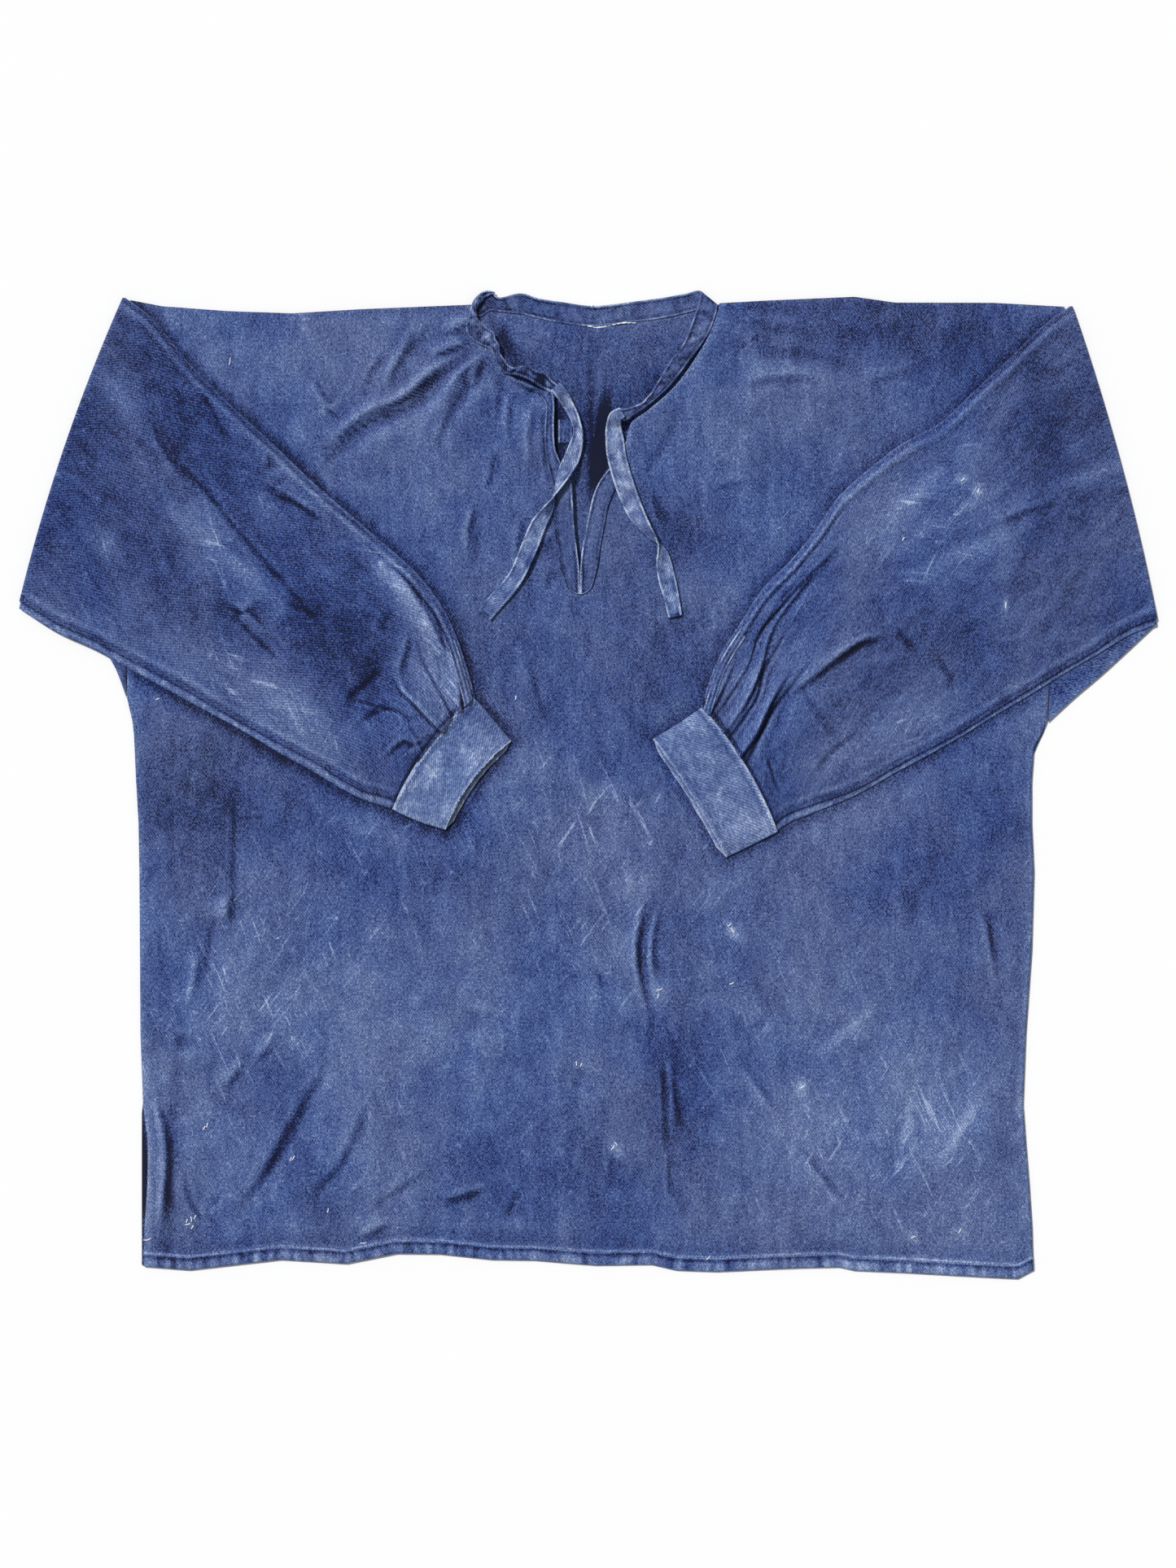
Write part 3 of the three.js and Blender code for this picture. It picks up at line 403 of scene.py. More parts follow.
def woven_twill(name, shades, wale_show, cloudiness, grain, scuffs, pucker):
    """Cotton twill, piece-dyed blue, then washed and rubbed pale on what stands proud, with painted shade
    in its hollows.
    """
    # Twill wales run down to the right at 56 degrees. Real ones are about 1 mm apart, too fine to show,
    # so they are drawn 1.9 mm apart. The cloth's own map is in metres, with the grain along V.
    wale_slant = 56
    wale_spacing = 0.0019
    # A wave texture of scale 1 repeats at this many metres
    wave_length = 0.314
    material, tree = new_material(name)
    cloth = add_node(tree, "ShaderNodeUVMap", uv_map="cloth").outputs[0]
    tone, crest, wear = (
        add_node(tree, "ShaderNodeAttribute", attribute_name=mark).outputs["Fac"]
        for mark in ("tone", "crest", "wear")
    )
    across_wales = add_node(
        tree, "ShaderNodeMapping", {"Vector": cloth, "Rotation": (0, 0, math.radians(90 + wale_slant))}
    ).outputs[0]
    wales = add_node(
        tree,
        "ShaderNodeTexWave",
        {"Vector": across_wales, "Scale": wave_length / wale_spacing, "Distortion": 1.6, "Detail": 2.0,
         "Detail Scale": 0.35},
        wave_type="BANDS",
        bands_direction="X",
    ).outputs["Fac"]
    # Faded yarns: short slubs along the warp
    warp = add_node(tree, "ShaderNodeMapping", {"Vector": cloth, "Scale": (1, 0.6, 1)}).outputs[0]
    slubs = noisy(tree, warp, 540.0, 2.0, 0.6)
    # Grain: the rubbed tops of the yarns stand pale beside dark ones, in specks a millimetre or two across
    specks = noisy(tree, cloth, 700.0, 2.0, 0.7)
    # Washing leaves clouds a hand across, and mottling a finger across that is drawn out along the warp
    clouds = noisy(tree, cloth, 13.0, 5.0, 0.58, 0.5)
    drawn_down = add_node(
        tree, "ShaderNodeMapping", {"Vector": cloth, "Scale": (1, 2.4, 1)}, vector_type="TEXTURE"
    ).outputs[0]
    mottle = noisy(tree, drawn_down, 110.0, 5.0, 0.66, 0.7)
    # Rubbed streaks, drawn out along two slants and broken up by patches, and most where the wear is
    streaks = []
    for slant, seed in ((24, 3.1), (-36, 7.7)):
        drawn_out = add_node(
            tree,
            "ShaderNodeMapping",
            {"Vector": cloth, "Location": (seed, 0, 0), "Rotation": (0, 0, math.radians(slant)),
             "Scale": (1, 11, 1)},
            vector_type="TEXTURE",
        ).outputs[0]
        streaks.append(spread(tree, noisy(tree, drawn_out, 240.0, 3.0, 0.55, 0.85), 0.6, 0.72))
    patches = spread(tree, noisy(tree, cloth, 24.0, 3.0, 0.6), 0.5, 0.68)
    scuffed = reckoned(tree, "MULTIPLY_ADD", patches, 0.5, wear)
    rubbed = reckoned(tree, "MULTIPLY", reckoned(tree, "MAXIMUM", *streaks), scuffed)
    # Small blots where the surface has been rubbed through
    blots = spread(tree, noisy(tree, cloth, 75.0, 6.0, 0.75, 0.5), 0.6, 0.78)
    blots = reckoned(tree, "MULTIPLY_ADD", blots, wear, blots)

    # How much each pattern adds to the paleness. Half of the noises' weights is taken off first, so that
    # they leave the cloth as pale on the whole as its tone says. The tone also carries the painted shade
    # and highlights laid on in the pieces. The crest makes fold tops paler, which is wear, and hollows
    # darker, which is painted shade.
    noises = ((clouds, cloudiness), (mottle, 0.65), (slubs, 0.8), (specks, grain), (wales, wale_show))
    rubbing_and_hollow_shade = ((crest, 0.16), (rubbed, scuffs), (blots, scuffs))
    paleness = reckoned(tree, "ADD", tone, -0.5 * sum(weight for source, weight in noises))
    for source, weight in noises + rubbing_and_hollow_shade:
        paleness = reckoned(tree, "MULTIPLY_ADD", source, weight, paleness)
    ramp = add_node(tree, "ShaderNodeValToRGB", {"Fac": paleness})
    stops = ramp.color_ramp.elements
    for row in shades[1:-1]:
        stops.new(row[0])
    for stop, (place, shade) in zip(stops, shades):
        stop.position = place
        stop.color = linear(shade)

    # The dye has turned greyer in some places than in others
    strength = add_node(
        tree,
        "ShaderNodeMapRange",
        {"Value": noisy(tree, cloth, 7.0, 4.0, 0.6), "From Min": 0.4, "From Max": 0.62, "To Min": 1.05,
         "To Max": 0.93},
    ).outputs[0]
    dyed = add_node(
        tree, "ShaderNodeHueSaturation", {"Saturation": strength, "Color": ramp.outputs[0]}
    ).outputs[0]
    # The weave, the yarns and small puckers stand up by parts of a millimetre
    height = reckoned(tree, "MULTIPLY", noisy(tree, cloth, 38.0, 4.0, 0.55, 1.1), pucker)
    for source, weight in ((wales, 0.16), (slubs, 0.3), (mottle, 0.5), (rubbed, 0.12)):
        height = reckoned(tree, "MULTIPLY_ADD", source, weight, height)
    relief = add_node(
        tree, "ShaderNodeBump", {"Height": height, "Strength": 1.0, "Distance": MM}
    ).outputs[0]
    dry = reckoned(tree, "MULTIPLY_ADD", slubs, 0.2, 0.78)
    skin = add_node(
        tree,
        "ShaderNodeBsdfPrincipled",
        {"Base Color": dyed, "Roughness": dry, "Normal": relief, "Specular IOR Level": 0.2,
         "Sheen Weight": 0.06, "Sheen Roughness": 0.5},
    )
    add_node(tree, "ShaderNodeOutputMaterial", {"Surface": skin.outputs[0]})
    return material


# The dye runs from deep indigo where the cloth was covered to a chalky blue where it is worn.
# The near-black lowest stop is for painted shade in hollows and gaps.
body_twill = woven_twill(
    "worn_indigo_twill",
    [(0.0, "0f1530"), (0.07, "202a5a"), (0.22, "36477d"), (0.45, "4d6092"), (0.7, "6e82ac"),
     (1.0, "a6b5d6")],
    wale_show=0.18,
    cloudiness=0.5,
    grain=1.5,
    scuffs=0.44,
    pucker=1.6,
)
# Upper face of each piece that has been added, for what is laid on it
surfaces = {}

# Where the columns and the rows stand, closest in the neck opening
back_shares = np.concatenate([
    [0, 0.004, 0.008], np.linspace(0.012, 0.36, 29), np.linspace(0.363, 0.64, 74), np.linspace(0.67, 1, 28)
])
back_falls = np.concatenate([np.linspace(0, 0.2, 56), np.linspace(0.212, 1, 66)])
fall, share = np.meshgrid(back_falls, back_shares, indexing="ij")
back_level = SHOULDER_LEVEL + (HEM_LEVEL + 1 - SHOULDER_LEVEL) * fall
back_left = look_up(BODY, back_level)
back_left = np.where(back_level < VENT_TOP, np.minimum(back_left, BACK_VENT_EDGE), back_left)
back_x = back_left + (look_up(BODY, back_level, 2) - back_left) * share
back_top = [(x, SHOULDER_LEVEL + rise) for x, rise in SHOULDER] + [row[:2] for row in BACK_NECK]
top_y = look_up(back_top, back_x)
bottom_y = HEM_LEVEL + 1 + look_up(HEM, back_x)
back_y = top_y + (bottom_y - top_y) * fall
in_neck = ease(-78, -60, back_x) * ease(-88, -70, -back_x)
in_neck = in_neck * ease(235, 275, back_y) * ease(-398, -385, -back_y)
back_folds = creased(BACK_CREASES, back_x, back_y) + 0.5 * uneven(back_x, back_y, 30, 2.5)
back_lift = in_neck * np.maximum(0, 0.5 + back_folds)
back_plan = np.stack([back_x, back_y], -1).reshape(-1, 2)
back_over = np.column_stack([back_plan, CLOTH + back_lift.ravel()])
back_under = np.column_stack([back_plan, np.zeros(len(back_plan))])
back_piece = add_wall(
    "back_cloth",
    back_over,
    back_under,
    grid_quads(*back_x.shape),
    back_plan,
    {"tone": (BACK_TONE + toned(BACK_TONES_AND_SHADE, back_x, back_y)).ravel(),
     "crest": crested(back_over[:, 2], back_x.shape, 1)},
    body_twill,
)
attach(back_piece, "root")
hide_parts("back")


# Front panel
# One panel cut with the neck opening and a centre slit, joined to the back at its sides and shoulders.
# It lies loosely on the back, so it swells and folds, and its lower edge is turned up into a hem.
FRONT_LOW = CLOTH + GAP
HEM_WALL = 2.1
HEM_DEPTH = 11
SLIT_END = 171
FACING_END = 163
SIDE_EASE = 26
FRONT_TONE = 0.39
SIDE_STEPS = 156
OPENING_STEPS = 7
PER_ROW = 4
UNDER_STEP = 8
# Level, the front's own edge, a line beside it (the facing's outer edge along the slit),
# and X and Y of the neckband's free edge where the band is sewn on
LEFT_OPENING = [
    (412, -97.8, -122, -85.2, 423.4), (400, -101.3, -126, -93.6, 411.3), (387.5, -94.3, -122, -90, 400),
    (379.8, -83, -112, -80.3, 389.6), (370.7, -78.2, -104, -74, 377.7), (360, -74, -97, -70.5, 367),
    (352.5, -69, -89, -65.6, 360), (345.5, -58, -77, -54.5, 358.6), (339.5, -44, -62, -40.5, 353),
    (336.5, -30, -44, -27.5, 345), (325, -28.8, -36.8), (306, -29.2, -37.6), (288, -28, -37.4),
    (273, -22, -35.2), (258, -14.2, -31.4), (242, -13, -29.8), (224, -12, -29.2), (206, -10, -27),
    (188, -7.8, -23.5), (SLIT_END, -6.8, -18.5),
]
RIGHT_OPENING = [
    (412.6, 113, 150, 97.6, 423.9), (398.7, 109.4, 139.5, 94, 408.5), (383.3, 103, 126, 88.4, 390.3),
    (367.9, 94, 111, 80, 369), (352.5, 83.5, 93.5, 68, 357), (339, 72.3, 80.5, 56.2, 342.5),
    (329.4, 61.8, 70, 49.2, 330.5), (319.6, 49.9, 58, 38.7, 324), (311.9, 38.7, 49, 26, 321.5),
    (305, 35, 46), (296, 33, 44), (286, 29, 41), (275.5, 22.5, 36), (263, 12, 29), (250, 5.2, 22.5),
    (235, 1.2, 17), (219, -2, 14), (203, -5, 11), (187, -6.5, 9), (SLIT_END, -6.8, 4.6),
]
# Sleeves, laid over the front: each ring's end on the shoulder side and on the underarm side, and its bow
LEFT_SLEEVE_RINGS = [
    (-397, 417.4, -487.4, 150, -6.5), (-372.9, 398.7, -456.9, 130.6, -7),
    (-341.4, 360.5, -423.3, 115.2, -7), (-306.4, 325.2, -391.8, 97.7, -7), (-271.4, 293, -358.9, 79.5, -7),
    (-236.4, 259.6, -326.7, 62, -7), (-204.9, 232.1, -295.9, 45.2, -7), (-175.5, 206.9, -265.8, 27, -7),
    (-147.5, 181.7, -237.8, 11.6, -7), (-125.8, 153.7, -213.3, -3.2, -7), (-112.5, 126.4, -194.4, -13, -7),
    (-103.4, 99, -179.7, -17.9, -7), (-96.4, 73.9, -167, -22, -7),
]
LEFT_CUFF_RINGS = [
    (-95.8, 72.6, -166, -23.4, -7), (-80, 54, -144, -33, -7), (-65.6, 36.8, -122.3, -39.6, -6.5)
]
RIGHT_SLEEVE_RINGS = [
    (413.5, 410.2, 487.3, 136.5, -5), (390.1, 393.1, 463.6, 127, -5.5), (362.1, 365.8, 436.3, 110.3, -6),
    (332.7, 338.5, 408.3, 94.2, -6), (302.6, 310.5, 380.3, 76.7, -6), (269.7, 292.3, 351.6, 59.9, -6),
    (240.3, 269.9, 322.2, 41.7, -6), (215.1, 246.8, 292.8, 24.9, -6), (196.2, 219.5, 264.1, 9.5, -6),
    (174.5, 192.9, 234.7, -7.4, -6), (150, 167.7, 209.5, -18.6, -6), (129.7, 136.9, 188.5, -27, -6),
    (110.8, 106, 173.1, -33.3, -6), (96.8, 66, 161.9, -41, -6),
]
RIGHT_CUFF_RINGS = [
    (95.6, 64.6, 160.8, -42.4, -6), (76, 51, 140, -53, -4.5), (55.5, 38.9, 118.5, -63.4, -3)
]
# X, Y, reach across, reach along and height of each rounded swell
FRONT_SWELLS = [
    (-140, 330, 95, 75, 4), (150, 350, 110, 60, 3.6), (-10, 250, 75, 80, 2.6), (20, 30, 190, 130, 1.8),
    (-250, -120, 110, 130, 2.4), (60, -200, 120, 120, 2.6), (250, -220, 120, 130, 1.8),
    (-180, -330, 130, 60, 3), (230, -370, 130, 40, 1.6),
]
# Width, height and line of each crease
FRONT_CREASES = [
    (8, 4.4, [(-374, -252), (-371, -279), (-367, -296), (-364, -313), (-364, -336), (-366, -357),
        (-369, -380), (-374, -404)]),
    (9, -2, [(-316, -378), (-330, -372), (-342, -352), (-345, -330)]),
    (12, 1.8, [(-188, -262), (-205, -300), (-222, -330), (-248, -352)]),
    (9, -1.8, [(-130, -330), (-165, -352), (-190, -372)]),
    (4.5, 3.6, [(-101, 402), (-113, 392), (-128, 388)]),
    (4, 2.9, [(-92, 372), (-97, 352), (-103, 335)]),
    (4, 2.5, [(-104, 380), (-124, 372), (-138, 368)]),
    (3.6, 2.2, [(-60, 348), (-50, 340), (-38, 336)]),
    (4, 1.9, [(-66, 340), (-70, 312), (-68, 285)]),
    (4, 1.7, [(-47, 330), (-52, 300), (-50, 272)]),
    (5, 1.5, [(-20, 225), (-44, 205), (-66, 190)]),
    (10, 0.9, [(118, 392), (136, 380), (150, 366)]),
    (5, 1.7, [(-96, 250), (-104, 215), (-102, 185)]),
    (5, 1.4, [(-58, 235), (-62, 195), (-56, 160)]),
    (6, 1.5, [(-240, 352), (-228, 330), (-206, 312)]),
    (5, 1.4, [(-176, 372), (-190, 352), (-196, 334)]),
    (5, 4.7, [(-98, 375), (-117, 365), (-138, 350), (-155, 334), (-171, 326), (-196, 315), (-232, 285)]),
    (4.3, -3.6, [(-93, 369), (-113, 358), (-134, 342), (-151, 324), (-169, 317), (-193, 306),
        (-225, 278), (-232, 261)]),
    (3.6, -3.1, [(-85, 362), (-100, 350), (-110, 333), (-119, 317), (-126, 300), (-136, 282)]),
    (3.6, 2.7, [(-89, 368), (-106, 355), (-117, 340), (-124, 324), (-131, 310)]),
    (3.2, -1.6, [(-78, 356), (-77, 331), (-79, 303)]),
    (2.9, -2.5, [(-80, 288), (-82, 270), (-88, 250)]),
    (4.3, 3.6, [(-148, 397), (-156, 377), (-166, 359), (-176, 340)]),
    (4.3, -2.2, [(-135, 396), (-149, 375), (-158, 365)]),
    (2.9, -2.2, [(-58, 334), (-47, 338), (-29, 338)]),
    (3.6, 2, [(-58, 343), (-40, 345), (-30, 344)]),
    (3.6, -1.4, [(-94, 226), (-98, 184)]),
    (2.9, -1.5, [(-31, 186), (-36, 168)]),
    (2.6, -2, [(-39, 326), (-38, 296), (-36, 272), (-31, 253)]),
    (9, -1.2, [(-51, 118), (-44, 86), (-36, 55), (-38, 37)]),
    (8.6, 1.2, [(128, 344), (152, 350), (180, 352), (204, 348)]),
    (15.2, -1.4, [(123, 373), (145, 366), (177, 366), (201, 362), (226, 352), (240, 345)]),
    (7.2, 0.7, [(236, 345), (263, 355), (292, 364)]),
    (7.2, 0.6, [(96, 254), (124, 261), (156, 265)]),
    (13.6, -1.4, [(81, 331), (74, 303), (58, 275), (46, 254)]),
    (4.3, -1.6, [(54, 254), (65, 219)]),
    (13.6, -1, [(110, 396), (135, 393), (166, 387), (201, 384)]),
    (7, -1.7, [(-304, 9), (-303, -26), (-304, -61), (-303, -96), (-306, -131), (-309, -150)]),
    (7.6, 1.9, [(-310, -94), (-312, -120)]),
    (9, -2.2, [(-318, -108), (-323, -131), (-327, -159), (-333, -178)]),
    (6.1, 1.9, [(-334, -138), (-339, -169), (-346, -201)]),
    (14, -1.3, [(-338, 25), (-342, 2), (-347, -19)]),
    (7.6, -1.7, [(-351, -213), (-348, -232)]),
    (6.1, 1.4, [(-295, -234), (-306, -250), (-318, -261)]),
    (5.5, 1.3, [(-271, -210), (-275, -225), (-290, -237)]),
    (14, -2, [(-223, -185), (-225, -229), (-226, -251), (-239, -272), (-250, -299), (-264, -322),
        (-292, -360), (-311, -384), (-316, -400)]),
    (12, 1.8, [(-241, -253), (-255, -281), (-269, -306), (-283, -334), (-299, -358)]),
    (9, -1.5, [(-126, -363), (-107, -357), (-87, -350)]),
    (9, 2.1, [(-128, -355), (-103, -349), (-86, -342)]),
    (9, -1.3, [(-54, -343), (-71, -376)]),
    (7.6, 1.9, [(-201, -390), (-184, -381), (-167, -373)]),
    (7.6, -1.3, [(-2, -241), (-12, -264)]),
    (15, -1.1, [(-93, -192), (-96, -216)]),
    (3.2, -2.9, [(56, -85), (56, -101), (51, -117), (46, -138), (46, -156), (49, -176), (53, -202),
        (48, -236)]),
    (3.6, 3.1, [(51, -85), (41, -138), (44, -176), (47, -197)]),
    (4.3, 2.5, [(63, -96), (54, -138), (58, -187)]),
    (4.6, -2.3, [(65, -229), (66, -264), (67, -306), (65, -323)]),
    (3.6, -1.6, [(74, -255), (79, -285), (84, -307)]),
    (3.6, -1.6, [(72, -313), (70, -341), (74, -363)]),
    (3.6, 2, [(70, -229), (72, -264), (74, -306)]),
    (9, 1, [(124, -236), (142, -259), (159, -285)]),
    (9, 0.9, [(173, -306), (194, -334), (229, -376)]),
    (9, 1.7, [(335, -102), (342, -133), (347, -163), (349, -181)]),
    (7.6, -1.3, [(24, -313), (20, -341), (18, -358)]),
]
# X, Y, reach across, reach along, lean in degrees, how much paler. The dark one down the right side of
# the vent's fold is painted shade, and the deepest is painted shade in the open gap of a rip.
FRONT_TONES = [
    (-359, -330, 5, 66, -2, -0.3), (-378, -335, 3, 60, 1, 0.24), (-370, -330, 4, 60, -2, 0.1),
    (-268, -330, 12, 80, 33, -0.06), (-335, -300, 34, 60, 10, 0.06), (-300, -120, 16, 120, -6, 0.08),
    (-250, -300, 20, 80, 22, -0.12), (-15, -60, 40, 30, 0, 0.02), (-5, -130, 90, 60, 0, 0.02),
    (-120, 60, 60, 50, 0, -0.1), (60, 90, 50, 70, 0, -0.08), (-70, 330, 50, 60, 0, -0.04),
    (-270, 372, 130, 32, 0, 0.03), (250, 392, 130, 30, 0, -0.26), (300, 345, 90, 40, 20, -0.12),
    (90, 222, 52, 40, 20, -0.22), (170, 300, 90, 30, 10, 0.06), (-60, 200, 70, 80, 0, -0.07),
    (0, 90, 150, 60, 0, -0.06), (-330, -10, 70, 90, 0, -0.23), (-372, -90, 16, 160, 0, -0.02),
    (-190, -60, 120, 50, -20, -0.08), (330, -60, 70, 130, 0, -0.12), (200, -70, 90, 60, 0, -0.08),
    (60, -130, 110, 90, 0, 0.01), (250, -290, 150, 90, 0, 0.09), (-250, -280, 120, 110, 0, 0.02),
    (-135, -215, 60, 50, 0, 0.1), (-96, -205, 20, 22, 0, -0.1), (-20, -330, 110, 70, 0, -0.12),
    (75, -260, 26, 110, 5, -0.18), (130, -200, 60, 60, 0, -0.08), (-348, -150, 22, 110, 2, 0),
    (9, -166, 1.9, 7, 8, -1), (61, -178, 9, 10, 0, 0.3), (124, -127, 4, 9, 30, 0.45),
    (183, -260, 5, 6, 0, 0.35), (23, -312, 5, 8, 30, 0.35), (279, -389, 6, 5, 0, 0.3),
    (319, -384, 7, 5, 0, 0.25), (272, -298, 3, 26, -12, 0.3), (318, -300, 4, 34, -32, 0.3),
    (222, -212, 4, 24, -50, 0.25), (10, -5, 12, 9, 0, 0.18), (-60, -18, 14, 8, 0, 0.12),
    (40, -90, 12, 20, -30, 0.12), (300, -412, 110, 14, 0, 0.12), (0, -60, 120, 60, 0, -0.05),
]
# X, Y, reach across, reach along, lean in degrees, how thickly it is scratched
FRONT_WEAR = [
    (10, -30, 70, 60, 0, 0.9), (-110, -40, 80, 50, 0, 0.5), (20, -140, 90, 60, 0, 0.6),
    (260, -290, 110, 80, 0, 0.8), (300, -360, 70, 40, 0, 0.5), (-300, -200, 60, 110, 0, 0.9),
    (-180, -350, 90, 40, 0, 0.5), (150, 240, 60, 50, 0, 0.4), (-40, -320, 60, 40, 0, 0.4),
    (-240, -120, 80, 70, 0, 0.6), (150, -200, 70, 70, 0, 0.5),
]


def outline_of(rings):
    """Plan outline of a laid sleeve, down its shoulder side and back up its underarm side."""
    return [(r[0], r[1]) for r in rings] + [(r[2], r[3]) for r in reversed(rings)]


def outside(plan, x, y):
    """Distance from each point to a plan outline, zero inside it."""
    inside = np.zeros(x.shape, bool)
    nearest = np.full(x.shape, np.inf)
    for (px, py), (qx, qy) in zip(plan, plan[1:] + plan[:1]):
        crosses = (py > y) != (qy > y)
        reach = px + (y - py) / (qy - py if qy != py else 1) * (qx - px)
        inside ^= crosses & (x < reach)
        length = (qx - px) ** 2 + (qy - py) ** 2
        share = np.clip(((x - px) * (qx - px) + (y - py) * (qy - py)) / length, 0, 1)
        nearest = np.minimum(nearest, np.hypot(x - px - share * (qx - px), y - py - share * (qy - py)))
    return np.where(inside, 0, nearest)


def swelled(swells, x, y):
    """Height of rounded swells."""
    height = np.zeros(x.shape)
    for middle_x, middle_y, across, along, rise in swells:
        height += rise * np.exp(-(((x - middle_x) / across) ** 2) - ((y - middle_y) / along) ** 2)
    return height


sleeve_plans = [
    outline_of(LEFT_SLEEVE_RINGS + LEFT_CUFF_RINGS),
    outline_of(RIGHT_SLEEVE_RINGS + RIGHT_CUFF_RINGS),
]


def front_height(x, y):
    """Height of the front panel's lower face."""
    x = np.asarray(x, float)
    y = np.asarray(y, float)
    # It may rise freely, but not at its side seams, hem and shoulders, nor close beside the sleeves
    free = ease(0, SIDE_EASE, x - look_up(BODY, y)) * ease(0, SIDE_EASE, look_up(BODY, y, 2) - x)
    free = free * (0.15 + 0.85 * ease(0, 40, y - HEM_LEVEL)) * ease(0, 22, SHOULDER_LEVEL + 4 - y)
    for plan in sleeve_plans:
        free = free * ease(2, 26, outside(plan, x, y))
    wander = 1.0 * uneven(x, 0.5 * y, 46, 4.2) + 1.3 * uneven(x, 0.32 * y, 20, 9.4)
    form = 1.0 + swelled(FRONT_SWELLS, x, y) + creased(FRONT_CREASES, x, y) + wander
    # The stitches of the hem draw the cloth just above it into puckers
    above_hem = y - HEM_LEVEL - look_up(HEM, x)
    puckers = 0.9 * uneven(x, 0.2 * y, 5.5, 3.8) * hump(above_hem, 8, 5)
    return FRONT_LOW + free * np.maximum(0, form) + puckers.clip(0)


def half_rows(side, opening):
    """Plan points of one half of the front, each row from its side seam to the middle."""
    last = len(opening) - 1
    at = np.arange(0, last + 1e-6, 1 / PER_ROW)
    levels, edges, insets = (through([row[k] for row in opening], at) for k in (0, 1, 2))
    side_levels = SHOULDER_LEVEL + (SLIT_END - SHOULDER_LEVEL) * at / last
    # Rows below the slit, closest where the hem is stitched and where it turns under
    hem_top = HEM_LEVEL + HEM_DEPTH
    lower = np.concatenate([
        np.linspace(FACING_END + 5, hem_top + 2.5, 176),
        hem_top + np.array([1.2, 0.4, -0.6, -1.6, -2.4, -5, -8, -10, -HEM_DEPTH]),
    ])
    # The line beside the slit moves out to a place of its own below it
    settled = -38 if side == 1 else 24
    levels = np.concatenate([levels, lower])
    side_levels = np.concatenate([side_levels, lower])
    edges = np.concatenate([edges, np.full(len(lower), opening[-1][1])])
    settling = np.exp(-np.arange(len(lower)) / 8)
    insets = np.concatenate([insets, settled + (insets[-1] - settled) * settling])
    share = np.linspace(0, 1, SIDE_STEPS + 1)[None, :]
    to_edge = (np.arange(1, OPENING_STEPS + 1) / OPENING_STEPS)[None, :]
    side_x = look_up(BODY, side_levels, side)[:, None]
    x = side_x + (insets[:, None] - side_x) * share
    x = np.hstack([x, insets[:, None] + (edges - insets)[:, None] * to_edge])
    y = side_levels[:, None] + (levels - side_levels)[:, None] * share
    y = np.hstack([y, np.broadcast_to(levels[:, None], (len(levels), OPENING_STEPS))])
    return x, waved(x, y)


front_x, front_y = [], []
for side, opening in ((1, LEFT_OPENING), (2, RIGHT_OPENING)):
    half_x, half_y = half_rows(side, opening)
    front_x.append(half_x)
    front_y.append(half_y)
half_shape = front_x[0].shape
front_x = np.concatenate([h.ravel() for h in front_x])
front_y = np.concatenate([h.ravel() for h in front_y])
front_low = front_height(front_x, front_y)
# Below the slit both halves share their last column
slit_rows = (len(LEFT_OPENING) - 1) * PER_ROW
half_count = half_shape[0] * half_shape[1]
front_quads = np.concatenate([
    grid_quads(*half_shape),
    grid_quads(*half_shape, turned=True) + half_count,
])
shared = np.arange(2 * half_count)
in_middle = shared % half_shape[1] == half_shape[1] - 1
below_slit = (shared - half_count) // half_shape[1] >= slit_rows
shared = np.where((shared >= half_count) & in_middle & below_slit, shared - half_count, shared)
front_quads = shared[front_quads]
front_under_faces = []
for first, turned in ((0, False), (half_count, True)):
    for face in wide_faces(*half_shape, UNDER_STEP, turned=turned):
        front_under_faces.append([int(shared[i + first]) for i in face])

row_number = np.tile(np.repeat(np.arange(half_shape[0]), half_shape[1]), 2)
from_end = half_shape[0] - 1 - row_number
# The wall of the last rows, from the lowest one up, thicker where the hem is turned up and stitched
hem_walls = np.array([CLOTH, 1.9, HEM_WALL, HEM_WALL, 1.7, 1.7, 1.9, 1.5, 1.3])
front_wall = np.where(from_end < 9, hem_walls[np.minimum(from_end, 8)], CLOTH)
front_plan = np.stack([front_x, front_y], -1)
front_over = np.column_stack([front_plan, front_low + front_wall])
front_lowest = np.concatenate([
    lowest_near(half.reshape(half_shape), UNDER_STEP).ravel() for half in np.split(front_low, 2)
])
front_under = np.column_stack([front_plan, front_lowest])
# Rubbed pale within a few millimetres of each edge and along the top of the hem, with painted shade along
# the hem's row of stitches and just above it
from_side = np.minimum(front_x - look_up(BODY, front_y), look_up(BODY, front_y, 2) - front_x)
from_hem = front_y - (HEM_LEVEL + look_up(HEM, front_x))
edge_x = np.concatenate([
    np.repeat(half.reshape(half_shape)[:, -1], half_shape[1]) for half in np.split(front_x, 2)
])
from_slit = np.where(row_number <= slit_rows, np.abs(front_x - edge_x), 99)
front_wear_and_shade = 0.16 * hump(from_side, 0, 5) + 0.2 * hump(from_slit, 0, 4)
front_wear_and_shade += 0.34 * hump(from_hem, 11.9, 1.2) + 0.16 * hump(from_hem, 0, 1.6)
front_wear_and_shade -= 0.3 * hump(from_hem, 9, 1.1) + 0.08 * hump(from_hem, 18, 5)
front_wear_and_shade += 0.5 * uneven(front_x, 0.2 * front_y, 5, 3.8) * ease(-10, -8, -from_hem)
# Painted shadow beside the sleeves' edges, deeper beside the left one
for plan, depth in zip(sleeve_plans, (0.34, 0.2)):
    front_wear_and_shade -= depth * hump(outside(plan, front_x, front_y), 0, 6.5)
